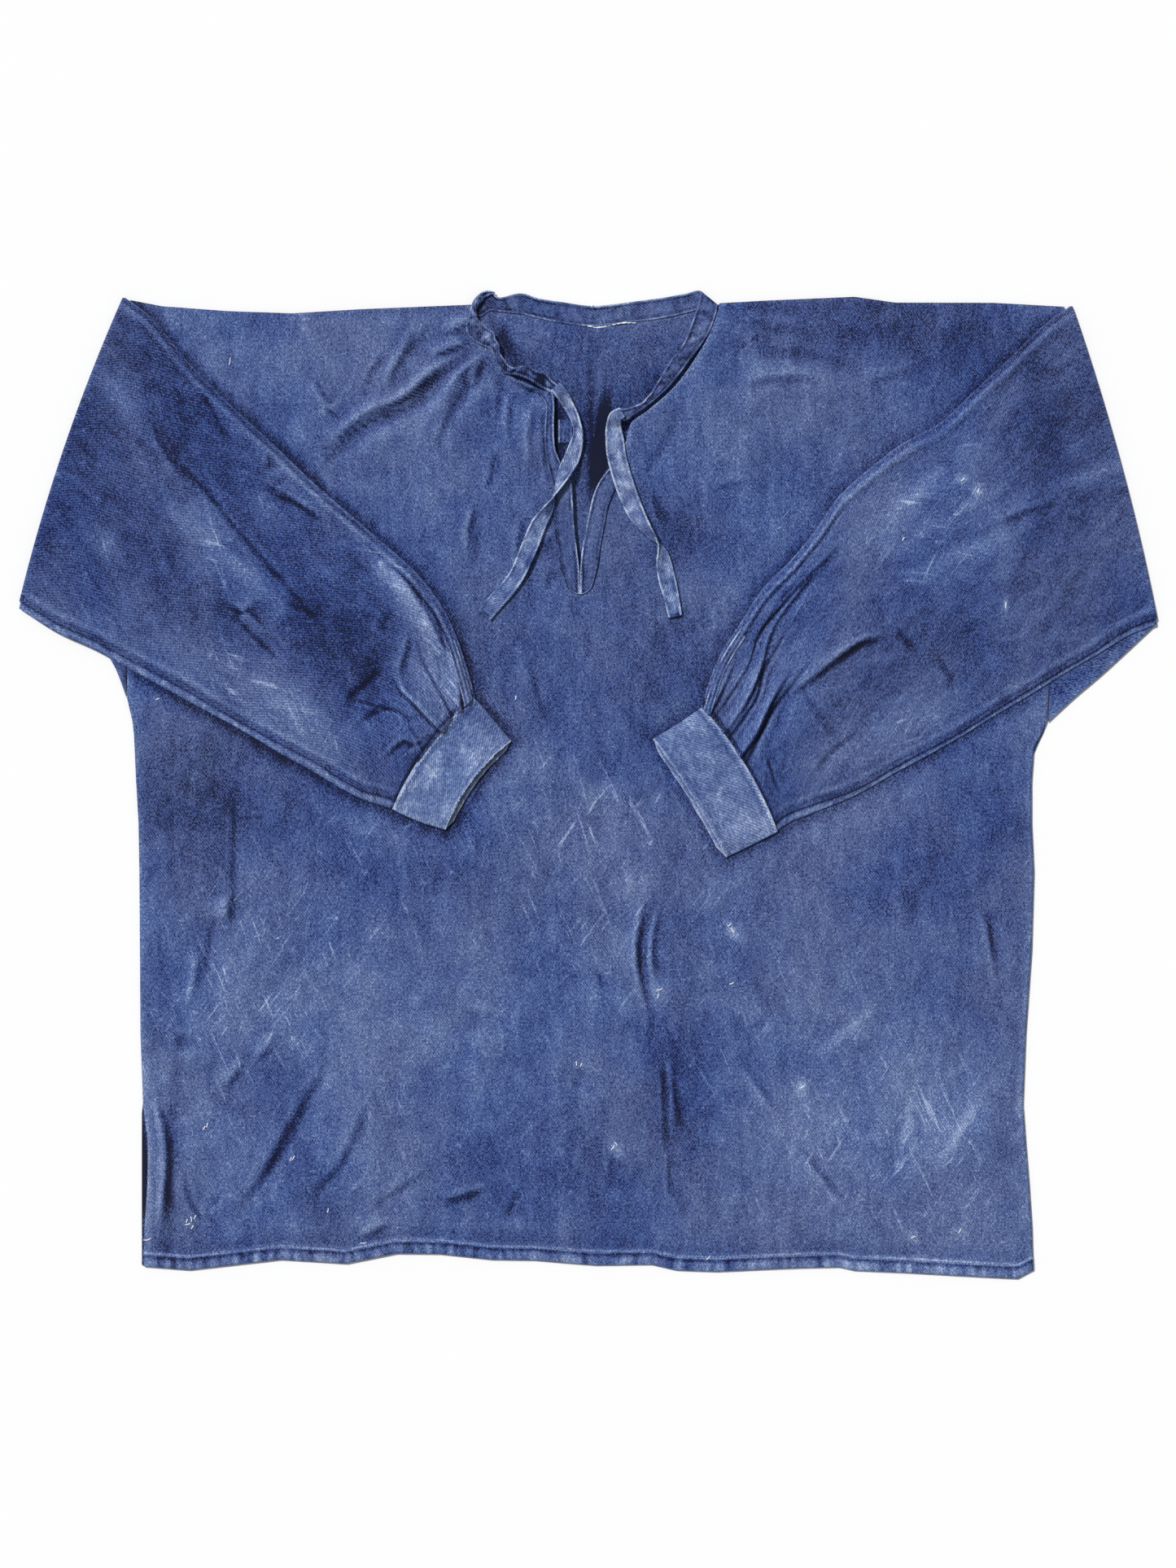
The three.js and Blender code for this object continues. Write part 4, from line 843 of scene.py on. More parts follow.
# Painted shade along the feet of the creases and painted highlight along their ridges
front_wear_and_shade += creased(FRONT_CREASES, front_x, front_y, shade=True)
front_crest = np.concatenate([
    crested(front_over[:half_count, 2], half_shape, 2), crested(front_over[half_count:, 2], half_shape, 2)
])
front_piece = add_wall(
    "front_cloth",
    front_over,
    front_under,
    front_quads,
    front_plan,
    {"tone": FRONT_TONE + toned(FRONT_TONES, front_x, front_y) + front_wear_and_shade, "crest": front_crest,
     "wear": np.clip(toned(FRONT_WEAR, front_x, front_y), 0, 1.2)},
    body_twill,
    under_faces=front_under_faces,
)
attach(front_piece, "root")
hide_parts("front")


# Facings of the slit
# Strips of the same cloth, folded in at both edges and laid down the two sides of the slit, where two rows
# of stitches hold them. A short end of the left one lies loose inside the opening.
FACING_WALL = 1.1
FACING_ROW_STEPS = 8
LEFT_FACING = LEFT_OPENING[9:] + [(FACING_END + 3, -6.8, -15), (FACING_END, -6.8, -9.5)]
RIGHT_FACING = RIGHT_OPENING[12:] + [(FACING_END + 3, -6.8, 1.2), (FACING_END, -6.8, -4)]
FACING_TONE = 0.32
TAB_MIDDLE = (-19.5, 303)
TAB_HALF = (6, 10)
TAB_TONE = 0.26
# Places of a strip's columns across it, closest at its edges
STRIP_PLACES = np.array(
    [0, 0.03, 0.07, 0.11, 0.16, 0.22, 0.3, 0.4, 0.5, 0.6, 0.7, 0.78, 0.84, 0.89, 0.93, 0.97, 1]
)

# Narrow doubled pieces rub to a paler, greyer blue, and their wales stand out. The near-black lowest
# stop is for painted shade, as in the body's twill.
trim_twill = woven_twill(
    "rubbed_trim_twill",
    [(0.0, "0f1530"), (0.07, "202a56"), (0.22, "364679"), (0.45, "506292"), (0.7, "7588b2"),
     (1.0, "b8c6e0")],
    wale_show=0.2,
    cloudiness=0.6,
    grain=0.85,
    scuffs=0.35,
    pucker=1.4,
)


def strip_profile(width, wall):
    """Wall thickness, bead height, and edge rub with painted shade in the stitch hollows, at each place
    across it.
    """
    # Rounded off over the last 0.9 mm, with a bead along each edge and the hollow of the stitches beside it
    from_edge = np.minimum(STRIP_PLACES, 1 - STRIP_PLACES) * width
    walls = wall * np.minimum(1, 0.35 + 0.65 * np.sqrt(from_edge / 0.9))
    bead = 0.4 * hump(from_edge, 1, 0.8) - 0.3 * hump(from_edge, 2.6, 0.8)
    # Pale where the edges are rubbed, and painted shade in the hollow of the stitches
    rub_and_groove_shade = 0.46 * hump(from_edge, 0.5, 0.9) - 0.2 * hump(from_edge, 2.7, 0.9)
    return walls, bead, rub_and_groove_shade


def add_strip(name, start, end, low, wall, tone, material, turned=False, cloth_turn=0.0, shade=0.0):
    """A narrow strip between two lines of plan points, resting at the given heights, with beaded edges.
    Its shade adds painted shade and highlight to its tone, and on the back band also mottling.
    """
    plan = start[:, None] + (end - start)[:, None] * STRIP_PLACES[None, :, None]
    shape = plan.shape[:2]
    width = np.hypot(*(end - start).T)[:, None]
    walls, bead, rub_and_groove_shade = strip_profile(width, wall)
    heights = low(plan[..., 0], plan[..., 1]) if callable(low) else np.broadcast_to(low, shape)
    middle = heights + wall / 2 + bead
    over = np.dstack([plan, middle + walls / 2]).reshape(-1, 3)
    under = np.dstack([plan, middle - walls / 2]).reshape(-1, 3)
    turn = math.radians(cloth_turn)
    flat = plan.reshape(-1, 2)
    cloth_map = np.column_stack([
        flat[:, 0] * math.cos(turn) - flat[:, 1] * math.sin(turn),
        flat[:, 0] * math.sin(turn) + flat[:, 1] * math.cos(turn),
    ])
    worn = np.clip(0.6 + 1.3 * uneven(plan[..., 0], plan[..., 1], 13, 5.1), 0, 1.4)
    marks = {"tone": (tone + worn * rub_and_groove_shade + shade).ravel(), "crest": crested(over[:, 2], shape, 2)}
    return add_wall(name, over, under, grid_quads(*shape, turned=turned), cloth_map, marks, material)


for side, rows, turned in (("left", LEFT_FACING, False), ("right", RIGHT_FACING, True)):
    at = np.linspace(0, len(rows) - 1, (len(rows) - 1) * FACING_ROW_STEPS)
    level, edge, inset = (through([row[k] for row in rows], at) for k in (0, 1, 2))
    start = np.column_stack([inset, waved(inset, level)])
    end = np.column_stack([edge, waved(edge, level)])
    # Painted shade along each facing's outer edge, where it is stitched down to the front
    facing = add_strip(
        "facing_" + side + "_cloth",
        start,
        end,
        lambda x, y: front_height(x, y) + CLOTH + 0.1,
        FACING_WALL,
        FACING_TONE,
        trim_twill,
        turned=turned,
        shade=-0.6 * hump(STRIP_PLACES[None, :], 0, 0.08),
    )
    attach(facing, "root")
    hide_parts("facing_" + side)

tab_rows = np.linspace(1, -1, 17)[:, None] * np.array([0, TAB_HALF[1]])
tab_piece = add_strip(
    "facing_end_cloth",
    np.array(TAB_MIDDLE) + tab_rows - np.array([TAB_HALF[0], 0]),
    np.array(TAB_MIDDLE) + tab_rows + np.array([TAB_HALF[0], 0]),
    CLOTH + 2 * GAP,
    FACING_WALL,
    TAB_TONE,
    trim_twill,
)
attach(tab_piece, "root")
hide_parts("facing_end")


# Neckband
# A doubled band sewn round the neck with two rows of stitches. It lies flat across the back and down the
# right side, and on the left it has curled up and rolled over, so that it stands off the back panel.
BAND_WALL = 1.6
BACK_BAND_TONE = 0.29
FRONT_BAND_TONE = 0.22
BAND_STEPS = 12
# X and Y of the sewn edge, X and Y of the other edge
BACK_BAND_LEFT_END = [(-95, 401, -97, 413), (-91, 402, -91.5, 420)]
BACK_BAND_RIGHT_END = [(101, 409.4, 99.4, 422)]
# X and Y of the free edge, X and Y of the sewn edge, height of the roll
LEFT_BAND = [
    (-80, 420.4, -80, 422.6, 0), (-85, 420, -86, 424, 1), (-88.5, 417.5, -91.8, 422, 2.5),
    (-92.5, 412.5, -97.4, 416.6, 4), (-95.4, 405.8, -101, 409, 4.6), (-94.5, 399.8, -102.8, 400.5, 4.4),
    (-90, 394.8, -104.8, 391, 3.4), (-84, 389.6, -102, 383, 3), (-79, 384, -93, 377, 4),
    (-76.8, 376.5, -84.6, 373, 4.8), (-74, 369, -80.8, 366, 5), (-71, 363, -77.6, 358.3, 5),
    (-65.2, 357.4, -71.4, 351.6, 4.6), (-57.4, 358.6, -61.6, 350.6, 4.2), (-47.4, 356.2, -51, 346.4, 3.6),
    (-38, 352.2, -42, 340.8, 3), (-28.6, 345.4, -33.4, 337, 2.6), (-20, 337.8, -27, 331.4, 2.4),
]
# X and Y of the sewn edge, X and Y of the free edge, height of the roll
RIGHT_BAND = [
    (111.6, 411.6, 97, 423.4, 0.4), (110, 403.6, 93.4, 409, 0.8), (106.8, 393.6, 89.4, 397.4, 1),
    (101.8, 383.6, 84.4, 384.4, 1.2), (95.2, 373.8, 79.4, 373.8, 1.2), (88, 364.4, 72.6, 366, 1.6),
    (80.4, 354.2, 65.4, 355, 1.2), (71.6, 343, 58, 342.4, 1.2), (61.6, 333, 51.4, 332.6, 1.4),
    (50.6, 324, 44.8, 326.6, 2), (40.4, 316.4, 36.4, 323.4, 2.6), (32, 311.6, 27.6, 321.8, 3),
    (23.4, 313.6, 20.6, 319.6, 2.6),
]

back_band_rows = BACK_BAND_LEFT_END + [(x, seam + 0.1, x, top) for x, seam, top in BACK_NECK]
back_band_rows = back_band_rows + BACK_BAND_RIGHT_END
at = np.linspace(0, len(back_band_rows) - 1, 170)
places = through(back_band_rows, at)
along_band = places[:, :1] + 0 * STRIP_PLACES
# Mottled pale and dark bars along the back band, and a painted shadow at its left end, under the rolled
# left band
band_mottle_and_shadow = 0.2 * uneven(along_band, 14 * STRIP_PLACES + 0 * along_band, 6, 2.8)
band_mottle_and_shadow = band_mottle_and_shadow - 0.3 * hump(at[:, None], 0, 2.2)
back_band = add_strip(
    "neckband_back_cloth",
    places[:, :2],
    places[:, 2:],
    lambda x, y: 0.65 + 0.3 * uneven(x, y, 14, 3.3) + 0.2 * uneven(x, y, 6, 7.3),
    BAND_WALL,
    BACK_BAND_TONE,
    trim_twill,
    cloth_turn=-20,
    shade=band_mottle_and_shadow,
)
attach(back_band, "root")
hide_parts("neckband_back")

for side, rows, ripple in (("left", LEFT_BAND, 1.2), ("right", RIGHT_BAND, 0.3)):
    at = np.linspace(0, len(rows) - 1, (len(rows) - 1) * BAND_STEPS + 1)
    places = through(rows, at)
    sewn, free = (places[:, 2:4], places[:, :2]) if side == "left" else (places[:, :2], places[:, 2:4])
    run = run_along(sewn)[:, None]
    sway = ripple * np.column_stack([np.sin(run / 2.3), np.cos(run / 3.1)])
    free = free + 0.6 * sway
    base = np.maximum(front_height(sewn[:, 0], sewn[:, 1]), BAND_WALL + 2 * GAP)[:, None]
    # Its free side rolls up, and it crumples between its two edges, with painted shade in the crumples'
    # hollows and painted highlight on their tops
    across = STRIP_PLACES[None, :]
    rise = places[:, 4:5] * np.sin(math.pi * (0.1 + 0.75 * across))
    crumple = uneven(run + 0 * across, 9 * across + 0 * run, 5, 1.7) * ripple
    crumple = crumple * np.sin(math.pi * across) * 1.4
    crumple = crumple + 0.3 * uneven(run + 0 * across, 14 * across + 0 * run, 6, 4.4)
    band = add_strip(
        "neckband_" + side + "_cloth",
        sewn,
        free,
        base + rise + crumple,
        BAND_WALL,
        FRONT_BAND_TONE,
        trim_twill,
        turned=side == "right",
        cloth_turn=35 if side == "left" else -15,
        shade=np.clip(0.3 * crumple / ripple ** 0.5, -0.3, 0.3),
    )
    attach(band, "root")
    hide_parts("neckband_" + side)


# Ties
# The two ends of the neckband run on as narrow folded tapes. Each turns over once on its way down the
# front and ends raw.
TIE_WALL = 1.4
TIE_CLEAR = 0.7
TWIST_RISE = 0.45
TIE_TONE = 0.54
TIE_STEPS = 9
GROUND_REACH = 4
TIE_RESTS_ON = [
    "front_cloth", "facing_left_cloth", "facing_right_cloth", "back_cloth", "neckband_left_cloth",
    "neckband_right_cloth",
]
# X, Y, width, how far the tape has turned over, in degrees
LEFT_TIE = [
    (-28, 340.5, 10, 0), (-21, 332, 10.5, 12), (-15.2, 322.5, 10.5, 34), (-10.6, 312.5, 10.5, 46),
    (-8.6, 301, 11, 40), (-10.4, 290.5, 12.4, 18), (-14.2, 279, 13.6, 0), (-19.4, 268, 13.4, 28),
    (-24.2, 257, 13, 58), (-29.4, 246.4, 12.5, 88), (-34.4, 235.6, 13, 130), (-42.4, 222, 14, 165),
    (-48.6, 207, 14.5, 180), (-54.6, 192.6, 14, 180), (-61, 179, 13.5, 180), (-69.6, 167, 14, 184),
    (-79.6, 155.8, 14.5, 180), (-88.8, 144.6, 13.5, 178),
]
RIGHT_TIE = [
    (29.5, 318, 9, 0), (23.4, 314, 12, 20), (22, 305.5, 14, 15), (23, 295, 16, 0), (24, 284, 16.5, 0),
    (27, 270.6, 16.5, 0), (31.8, 255, 16.5, 4), (37.4, 240.6, 16, 12), (43.6, 228, 15.5, 32),
    (51.2, 217.4, 15, 58), (58.6, 208, 13.5, 84), (63.4, 198, 13.5, 130), (65.4, 187, 14.5, 165),
    (68, 174.6, 15, 180), (71.4, 161, 13.5, 184), (74.8, 143.8, 12, 180),
]


def surface_at(names, x, y):
    """Highest point of the named pieces at a place, or the nearest point to it on the first of them."""
    found = []
    for name in names:
        hit = surfaces[name].ray_cast((x, y, 100), (0, 0, -1))[0]
        if hit is not None:
            found.append(hit.z)
    return max(found) if found else surfaces[names[0]].find_nearest((x, y, 4))[0].z


for side, stops, seed in (("left", LEFT_TIE, 5.5), ("right", RIGHT_TIE, 8.2)):
    at = np.linspace(0, len(stops) - 1, (len(stops) - 1) * TIE_STEPS + 1)
    place = through([stop[:2] for stop in stops], at)
    width = through([stop[2] for stop in stops], at)
    turn = np.radians(through([stop[3] for stop in stops], at))
    way = np.gradient(place, axis=0)
    way /= np.hypot(*way.T)[:, None]
    flat = np.column_stack([-way[:, 1], way[:, 0], np.zeros(len(at))])
    upright = np.array([0, 0, 1.0])
    half = width[:, None] / 2
    reach = half * (flat * np.cos(turn)[:, None] + upright * TWIST_RISE * np.sin(turn)[:, None])
    outward = flat * -np.sin(turn)[:, None] + upright * np.cos(turn)[:, None]
    ground = np.array([
        max(surface_at(TIE_RESTS_ON, *(middle + share * across[:2])) for share in (-1, -0.5, 0, 0.5, 1))
        for middle, across in zip(place, reach)
    ])
    # The stiff tape bridges what lies below: the highest ground near each point, then smoothed
    around = 2 * GROUND_REACH + 1
    ground = np.array([
        ground[max(0, i - GROUND_REACH):i + GROUND_REACH + 1].max() for i in range(len(ground))
    ])
    ground = np.convolve(np.pad(ground, GROUND_REACH, mode="edge"), np.ones(around) / around, "valid")
    run = run_along(place)[:, None]
    # It stands clear of what it lies on, in long low arches
    arched = 0.9 + 0.9 * np.sin(run[:, 0] / 17 + seed)
    standing = np.abs(reach[:, 2]) + TIE_WALL / 2 + TIE_CLEAR + arched
    middle = np.column_stack([place, ground + standing])
    share = STRIP_PLACES[None, :] * 2 - 1
    walls, bead, rub_and_groove_shade = strip_profile(width[:, None], TIE_WALL)
    # Crumpled all along, with fine ribs here and there
    facing_up = np.where(np.cos(turn) > 0, 1, -1)[:, None]
    crumple = 0.5 * uneven(run + 0 * share, 7 * share + 0 * run, 7, seed)
    ribbed = ease(0, 1, uneven(run + 0 * share, 0 * run + 0 * share, 19, seed))
    crumple = crumple + 0.35 * np.sin(run / 2.1 + 3 * share) * ribbed
    lift = facing_up * bead + crumple
    spine = middle[:, None] + reach[:, None] * share[..., None] + outward[:, None] * lift[..., None]
    over = (spine + outward[:, None] * walls[..., None] / 2).reshape(-1, 3)
    under = (spine - outward[:, None] * walls[..., None] / 2).reshape(-1, 3)
    cloth_map = np.dstack(np.broadcast_arrays(share * half, -run)).reshape(-1, 2)
    # Rubbed pale along its edges by turns, with painted shade between its layers at the raw end, and
    # painted shade and highlight on its crumples
    worn = np.clip(0.6 + 1.3 * uneven(run + 0 * share, 9 * share + 0 * run, 13, seed), 0, 1.4)
    shade_between_layers = -0.6 * hump(run[-1] - run, 1.6, 0.9) * (np.abs(share) < 0.6)
    crumpled = np.clip(crumple / 0.6, -1, 1)
    tone = TIE_TONE + worn * rub_and_groove_shade + shade_between_layers + 0.24 * crumpled
    tie = add_wall(
        "tie_" + side + "_cloth",
        over,
        under,
        grid_quads(*crumpled.shape),
        cloth_map,
        {"tone": tone.ravel(), "crest": crumpled.ravel()},
        trim_twill,
    )
    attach(tie, "root")
    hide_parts("tie_" + side)


# Sleeves
# Each is one tube with a seam down its underarm side, sewn to the body at the armhole and pleated into its
# cuff. It is folded over at a line just outside the armhole, so that it lies across the front.
TUBE_RADIUS = CLOTH + GAP / 2
TURN_AXIS = 2 * CLOTH + 1.5 * GAP
TURN_ARM = TURN_AXIS - TUBE_RADIUS
# How far along the sleeve, in rows of its rings, and how wide the strip below the underarm seam is
LEFT_SEAM_STRIP = [(0, 6), (3, 7.6), (6, 6), (8, 7.5), (10, 6.6), (12, 8)]
RIGHT_SEAM_STRIP = [(0, 5), (4, 3.6), (8, 4), (10, 5.6), (12, 7.6), (13, 6.5)]
RINGS_PER_ROW = 14
SHOWN_COLUMNS = 118
HIDDEN_COLUMNS = 26
# Where the columns of the felled seam stand, from its outer side inwards
SEAM_COLUMNS = np.array([4, 3, 2.2, 1.5, 0.9, 0.4, 0, -0.5, -1.1, -2.2, -3.6, -5])
# How far short of the underarm fold the strip's rounded nose starts, its radius and its middle's height
NOSE_IN = 0.9
NOSE_RADIUS = 0.62
NOSE_MIDDLE = 0.72
# How far the inside stops short of the seam
INSIDE_SHORT = 1.6
EDGE_ROLL = 1.7
CUFF_OVER = 3.2
# Armhole end, lying on the floor: the same columns as the rings laid over
LEFT_ROOT_RINGS = [
    (-393.8, 410, -396.6, 74, 0), (-394.9, 412.4, -412.8, 110.3, -1), (-396, 414.9, -447, 130, -3)
]
RIGHT_ROOT_RINGS = [
    (409.9, 406.5, 395.6, 53.5, 0), (411, 407.6, 418.3, 74.5, -1), (412.2, 408.8, 444.7, 97, -3)
]
LEFT_SLEEVE_SWELLS = [(-330, 250, 70, 90, 4), (-230, 150, 60, 60, 5), (-150, 60, 45, 40, 4)]
RIGHT_SLEEVE_SWELLS = [(370, 240, 70, 90, 3.6), (270, 150, 60, 70, 4.6), (180, 60, 45, 45, 3.6)]
# Width, height and line of each crease, and a True where its steep side is the upper left one
LEFT_SLEEVE_CREASES = [
    (3.6, 4.6, [(-168, 95), (-159.4, 80.2), (-148.9, 69.7), (-138.4, 58.2), (-129, 48.7), (-116, 36),
        (-100, 20)], True),
    (4, -3.4, [(-148, 128), (-140.5, 105.4), (-132, 88.6), (-121.6, 69.7), (-112, 52), (-100, 30)]),
    (3.6, 3, [(-136, 128), (-119, 111), (-112, 90), (-110, 72), (-106, 50), (-102, 30)]),
    (6, 2.6, [(-155, 134), (-158, 114), (-163, 97), (-160, 84)]),
    (3.6, -3, [(-132, 112), (-127, 100), (-126, 88), (-131, 80)]),
    (8, -1.9, [(-208, 40), (-178, 62), (-158, 56), (-146, 44), (-136, 26)]),
    (6, 2, [(-178, 22), (-160, 38), (-148, 34), (-140, 20)]),
    (8, -2.9, [(-373, 324), (-362, 302), (-348, 275), (-327, 253), (-313, 236), (-296, 214),
        (-274, 190), (-204, 110)]),
    (8, 1.6, [(-383, 321), (-372, 296), (-358, 272), (-338, 250)]),
    (6.9, -2.7, [(-338, 345), (-323, 324), (-313, 306), (-306, 292)]),
    (6.9, 2.5, [(-283, 264), (-261, 251), (-233, 233), (-218, 221)]),
    (5.8, -1.8, [(-278, 256), (-264, 244), (-250, 239)]),
    (6.9, -2, [(-271, 286), (-271, 267)]),
    (6.9, 3.4, [(-171, 186), (-156, 170), (-142, 149), (-131, 128), (-124, 110)]),
    (4.6, -2, [(-156, 184), (-135, 158), (-123, 121), (-120, 92)]),
    (11, -2.4, [(-164, 151), (-173, 137), (-177, 123)]),
    (13, -2.9, [(-190, 118), (-177, 99), (-190, 83), (-201, 71), (-197, 53)]),
    (6.9, -2.5, [(-309, 152), (-289, 131), (-274, 117), (-260, 102)]),
    (6.9, 1.8, [(-313, 160), (-296, 149), (-275, 128)]),
    (8, -1.3, [(-261, 156), (-229, 139)]),
]
RIGHT_SLEEVE_CREASES = [
    (3.4, -4.4, [(226, 212), (196, 184), (170, 156), (148, 128), (138, 100), (121, 72.5), (110, 58),
        (98, 44), (84, 30)]),
    (4, -5, [(184, 150), (168, 125), (152, 97), (146, 74), (132.5, 53), (122.7, 39), (108, 20), (92, 0)]),
    (4.6, -5.6, [(192, 108), (181, 92), (160.5, 64), (146.5, 36), (138, 19), (126, 0), (112, -18)]),
    (4, 4, [(214, 206), (184, 170), (158, 134), (147, 98), (136, 72), (124, 54), (112, 38), (98, 20)]),
    (4.6, 5, [(176, 104), (158, 74), (144, 44), (132, 26), (118, 6), (104, -14)]),
    (3.6, 2.4, [(128, 112), (121, 96), (112, 76), (102, 58), (92, 42)]),
    (8, 1.3, [(262, 131), (233, 123), (212, 110), (194, 95), (177, 81), (164, 64)]),
    (9, -1.4, [(176, 96), (200, 60), (222, 30)]),
    (3.6, -3, [(151, 30), (156, 18), (161, 2), (166, -12)]),
    (7, -1.3, [(250, 60), (228, 40), (205, 22), (190, -2)]),
    (5.8, 1.3, [(194, 191), (166, 163), (145, 132), (128, 104)]),
    (8, 3.4, [(264, 132), (237, 125), (215, 111), (191, 92), (170, 79)]),
    (12, -2, [(264, 135), (286, 113)]),
    (12, -1.8, [(299, 112), (313, 93), (316, 71)]),
    (8, 1.6, [(404, 247), (376, 237), (341, 223)]),
]
LEFT_SLEEVE_TONES = [
    (-375, 285, 60, 100, 0, -0.06), (-317, 198, 70, 22, -45, 0.22), (-278, 238, 14, 10, -30, 0.25),
    (-225, 238, 100, 10, -42, 0.14), (-148, 148, 45, 12, -60, 0.32), (-135, 82, 35, 35, 0, 0.22),
    (-247, 58, 72, 26, -35, 0.2), (-330, 100, 50, 25, -30, 0.1), (-435, 137, 40, 20, -20, 0.1),
    (-205, 115, 60, 26, -45, -0.12), (-260, 175, 60, 30, -45, -0.06), (-190, 85, 14, 40, -30, -0.1),
    (-174, 182, 22, 8, -45, 0.24), (-398, 330, 32, 13, -50, 0.22), (-282, 84, 52, 10, -35, 0.1),
    (-412, 205, 18, 9, -40, 0.18), (-165, 52, 36, 22, -40, 0.06), (-300, 185, 60, 6, -42, 0.12),
]
RIGHT_SLEEVE_TONES = [
    (397, 296, 50, 90, 0, -0.12), (320, 254, 90, 50, 45, 0.12), (200, 215, 70, 12, 50, 0.18),
    (257, 226, 40, 26, 45, 0.12), (334, 191, 60, 26, 40, 0.05), (150, 90, 50, 50, 0, 0.12),
    (255, 45, 80, 22, 25, 0.18), (290, 115, 50, 22, 40, -0.08), (321, 261, 5, 4, 0, 0.35),
    (334, 251, 5, 5, 0, 0.4), (358, 152, 3, 9, 0, 0.35), (321, 197, 52, 7, 25, 0.22),
    (275, 244, 45, 10, 40, 0.16), (438, 267, 45, 7, 20, 0.22), (176, 154, 26, 7, 40, 0.18),
    (300, 222, 52, 5, 30, 0.16), (248, 107, 14, 3, 15, 0.2),
]
LEFT_SLEEVE_TONE = 0.22
RIGHT_SLEEVE_TONE = 0.25


def sleeve_section(length, radius, strip):
    """Distance across and height of the points round each flattened ring, and how freely each may swell.

    The first stretch is the layer that shows. It stops short of the underarm fold at the felled seam,
    beyond which only a strip of the lower layer is left.
    """
    length = np.asarray(length, float)[:, None]
    outer = TUBE_RADIUS
    shown = np.linspace(0, 1, SHOWN_COLUMNS)[None, :] ** 1.12
    if radius == outer:
        # Outside: down over the seam's edge to the strip, and round its nose to the layer beneath
        until_strip = outer + (length - outer - strip - 5) * shown
        strip_in = np.minimum(length - strip - SEAM_COLUMNS[None, :], length - NOSE_IN)
        top_drop = ease(-0.6, 0.6, strip_in - (length - strip))
        strip_height = -radius + top_drop * (radius - 0.05)
        nose_turn = np.radians([-50, 0, 50])[None, :]
        nose = length - NOSE_RADIUS + NOSE_RADIUS * np.cos(nose_turn)
        nose_height = NOSE_MIDDLE + NOSE_RADIUS * np.sin(nose_turn) + 0 * length
        far = length - NOSE_IN
    else:
        # Inside: a flat space that ends short of the seam
        inner_end = length - strip - INSIDE_SHORT
        until_strip = outer + (inner_end - 1.5 - outer) * shown
        strip_in = inner_end - np.linspace(1.4, 0.1, len(SEAM_COLUMNS))[None, :]
        strip_height = -radius + 0 * strip_in
        nose = inner_end + 0 * length + np.array([0.05, 0.1, 0.05])[None, :]
        nose_height = np.array([-0.08, 0, 0.08])[None, :] + 0 * length
        far = length - strip - 1.7
    hidden = outer + (far - outer) * np.linspace(1, 0, HIDDEN_COLUMNS)[None, :]
    near_turn = np.radians([60, 20, -20, -60])[None, :]
    near = outer - radius * np.cos(near_turn) + 0 * length
    across = np.hstack([until_strip, strip_in, nose, hidden, near])
    height = np.hstack([
        -radius + 0 * until_strip, strip_height, nose_height, radius + 0 * hidden,
        radius * np.sin(near_turn) + 0 * length,
    ])
    free = np.zeros(across.shape)
    flat = until_strip.shape[1] + 7
    free[:, :flat] = ease(0, 7, across[:, :flat] - outer) * ease(0, 9, length - strip - across[:, :flat])
    return across, height, free


def ring_places(rings, across, height, hand, turn):
    """Places of the points of flattened rings, each turned by its own angle about the line of the fold,
    and which way each ring faces in plan.
    """
    a = rings[:, :2]
    b = rings[:, 2:4]
    span = b - a
    length = np.hypot(*span.T)[:, None]
    unit = span / length
    onward = np.column_stack([-unit[:, 1], unit[:, 0]]) * hand
    share = across / length
    arm = TURN_ARM - height
    out = rings[:, 4:5] * 4 * share * (1 - share) - arm * np.sin(turn)[:, None]
    plan = a[:, None] + unit[:, None] * across[..., None] + onward[:, None] * out[..., None]
    return np.dstack([plan, TURN_AXIS - arm * np.cos(turn)[:, None]]), onward


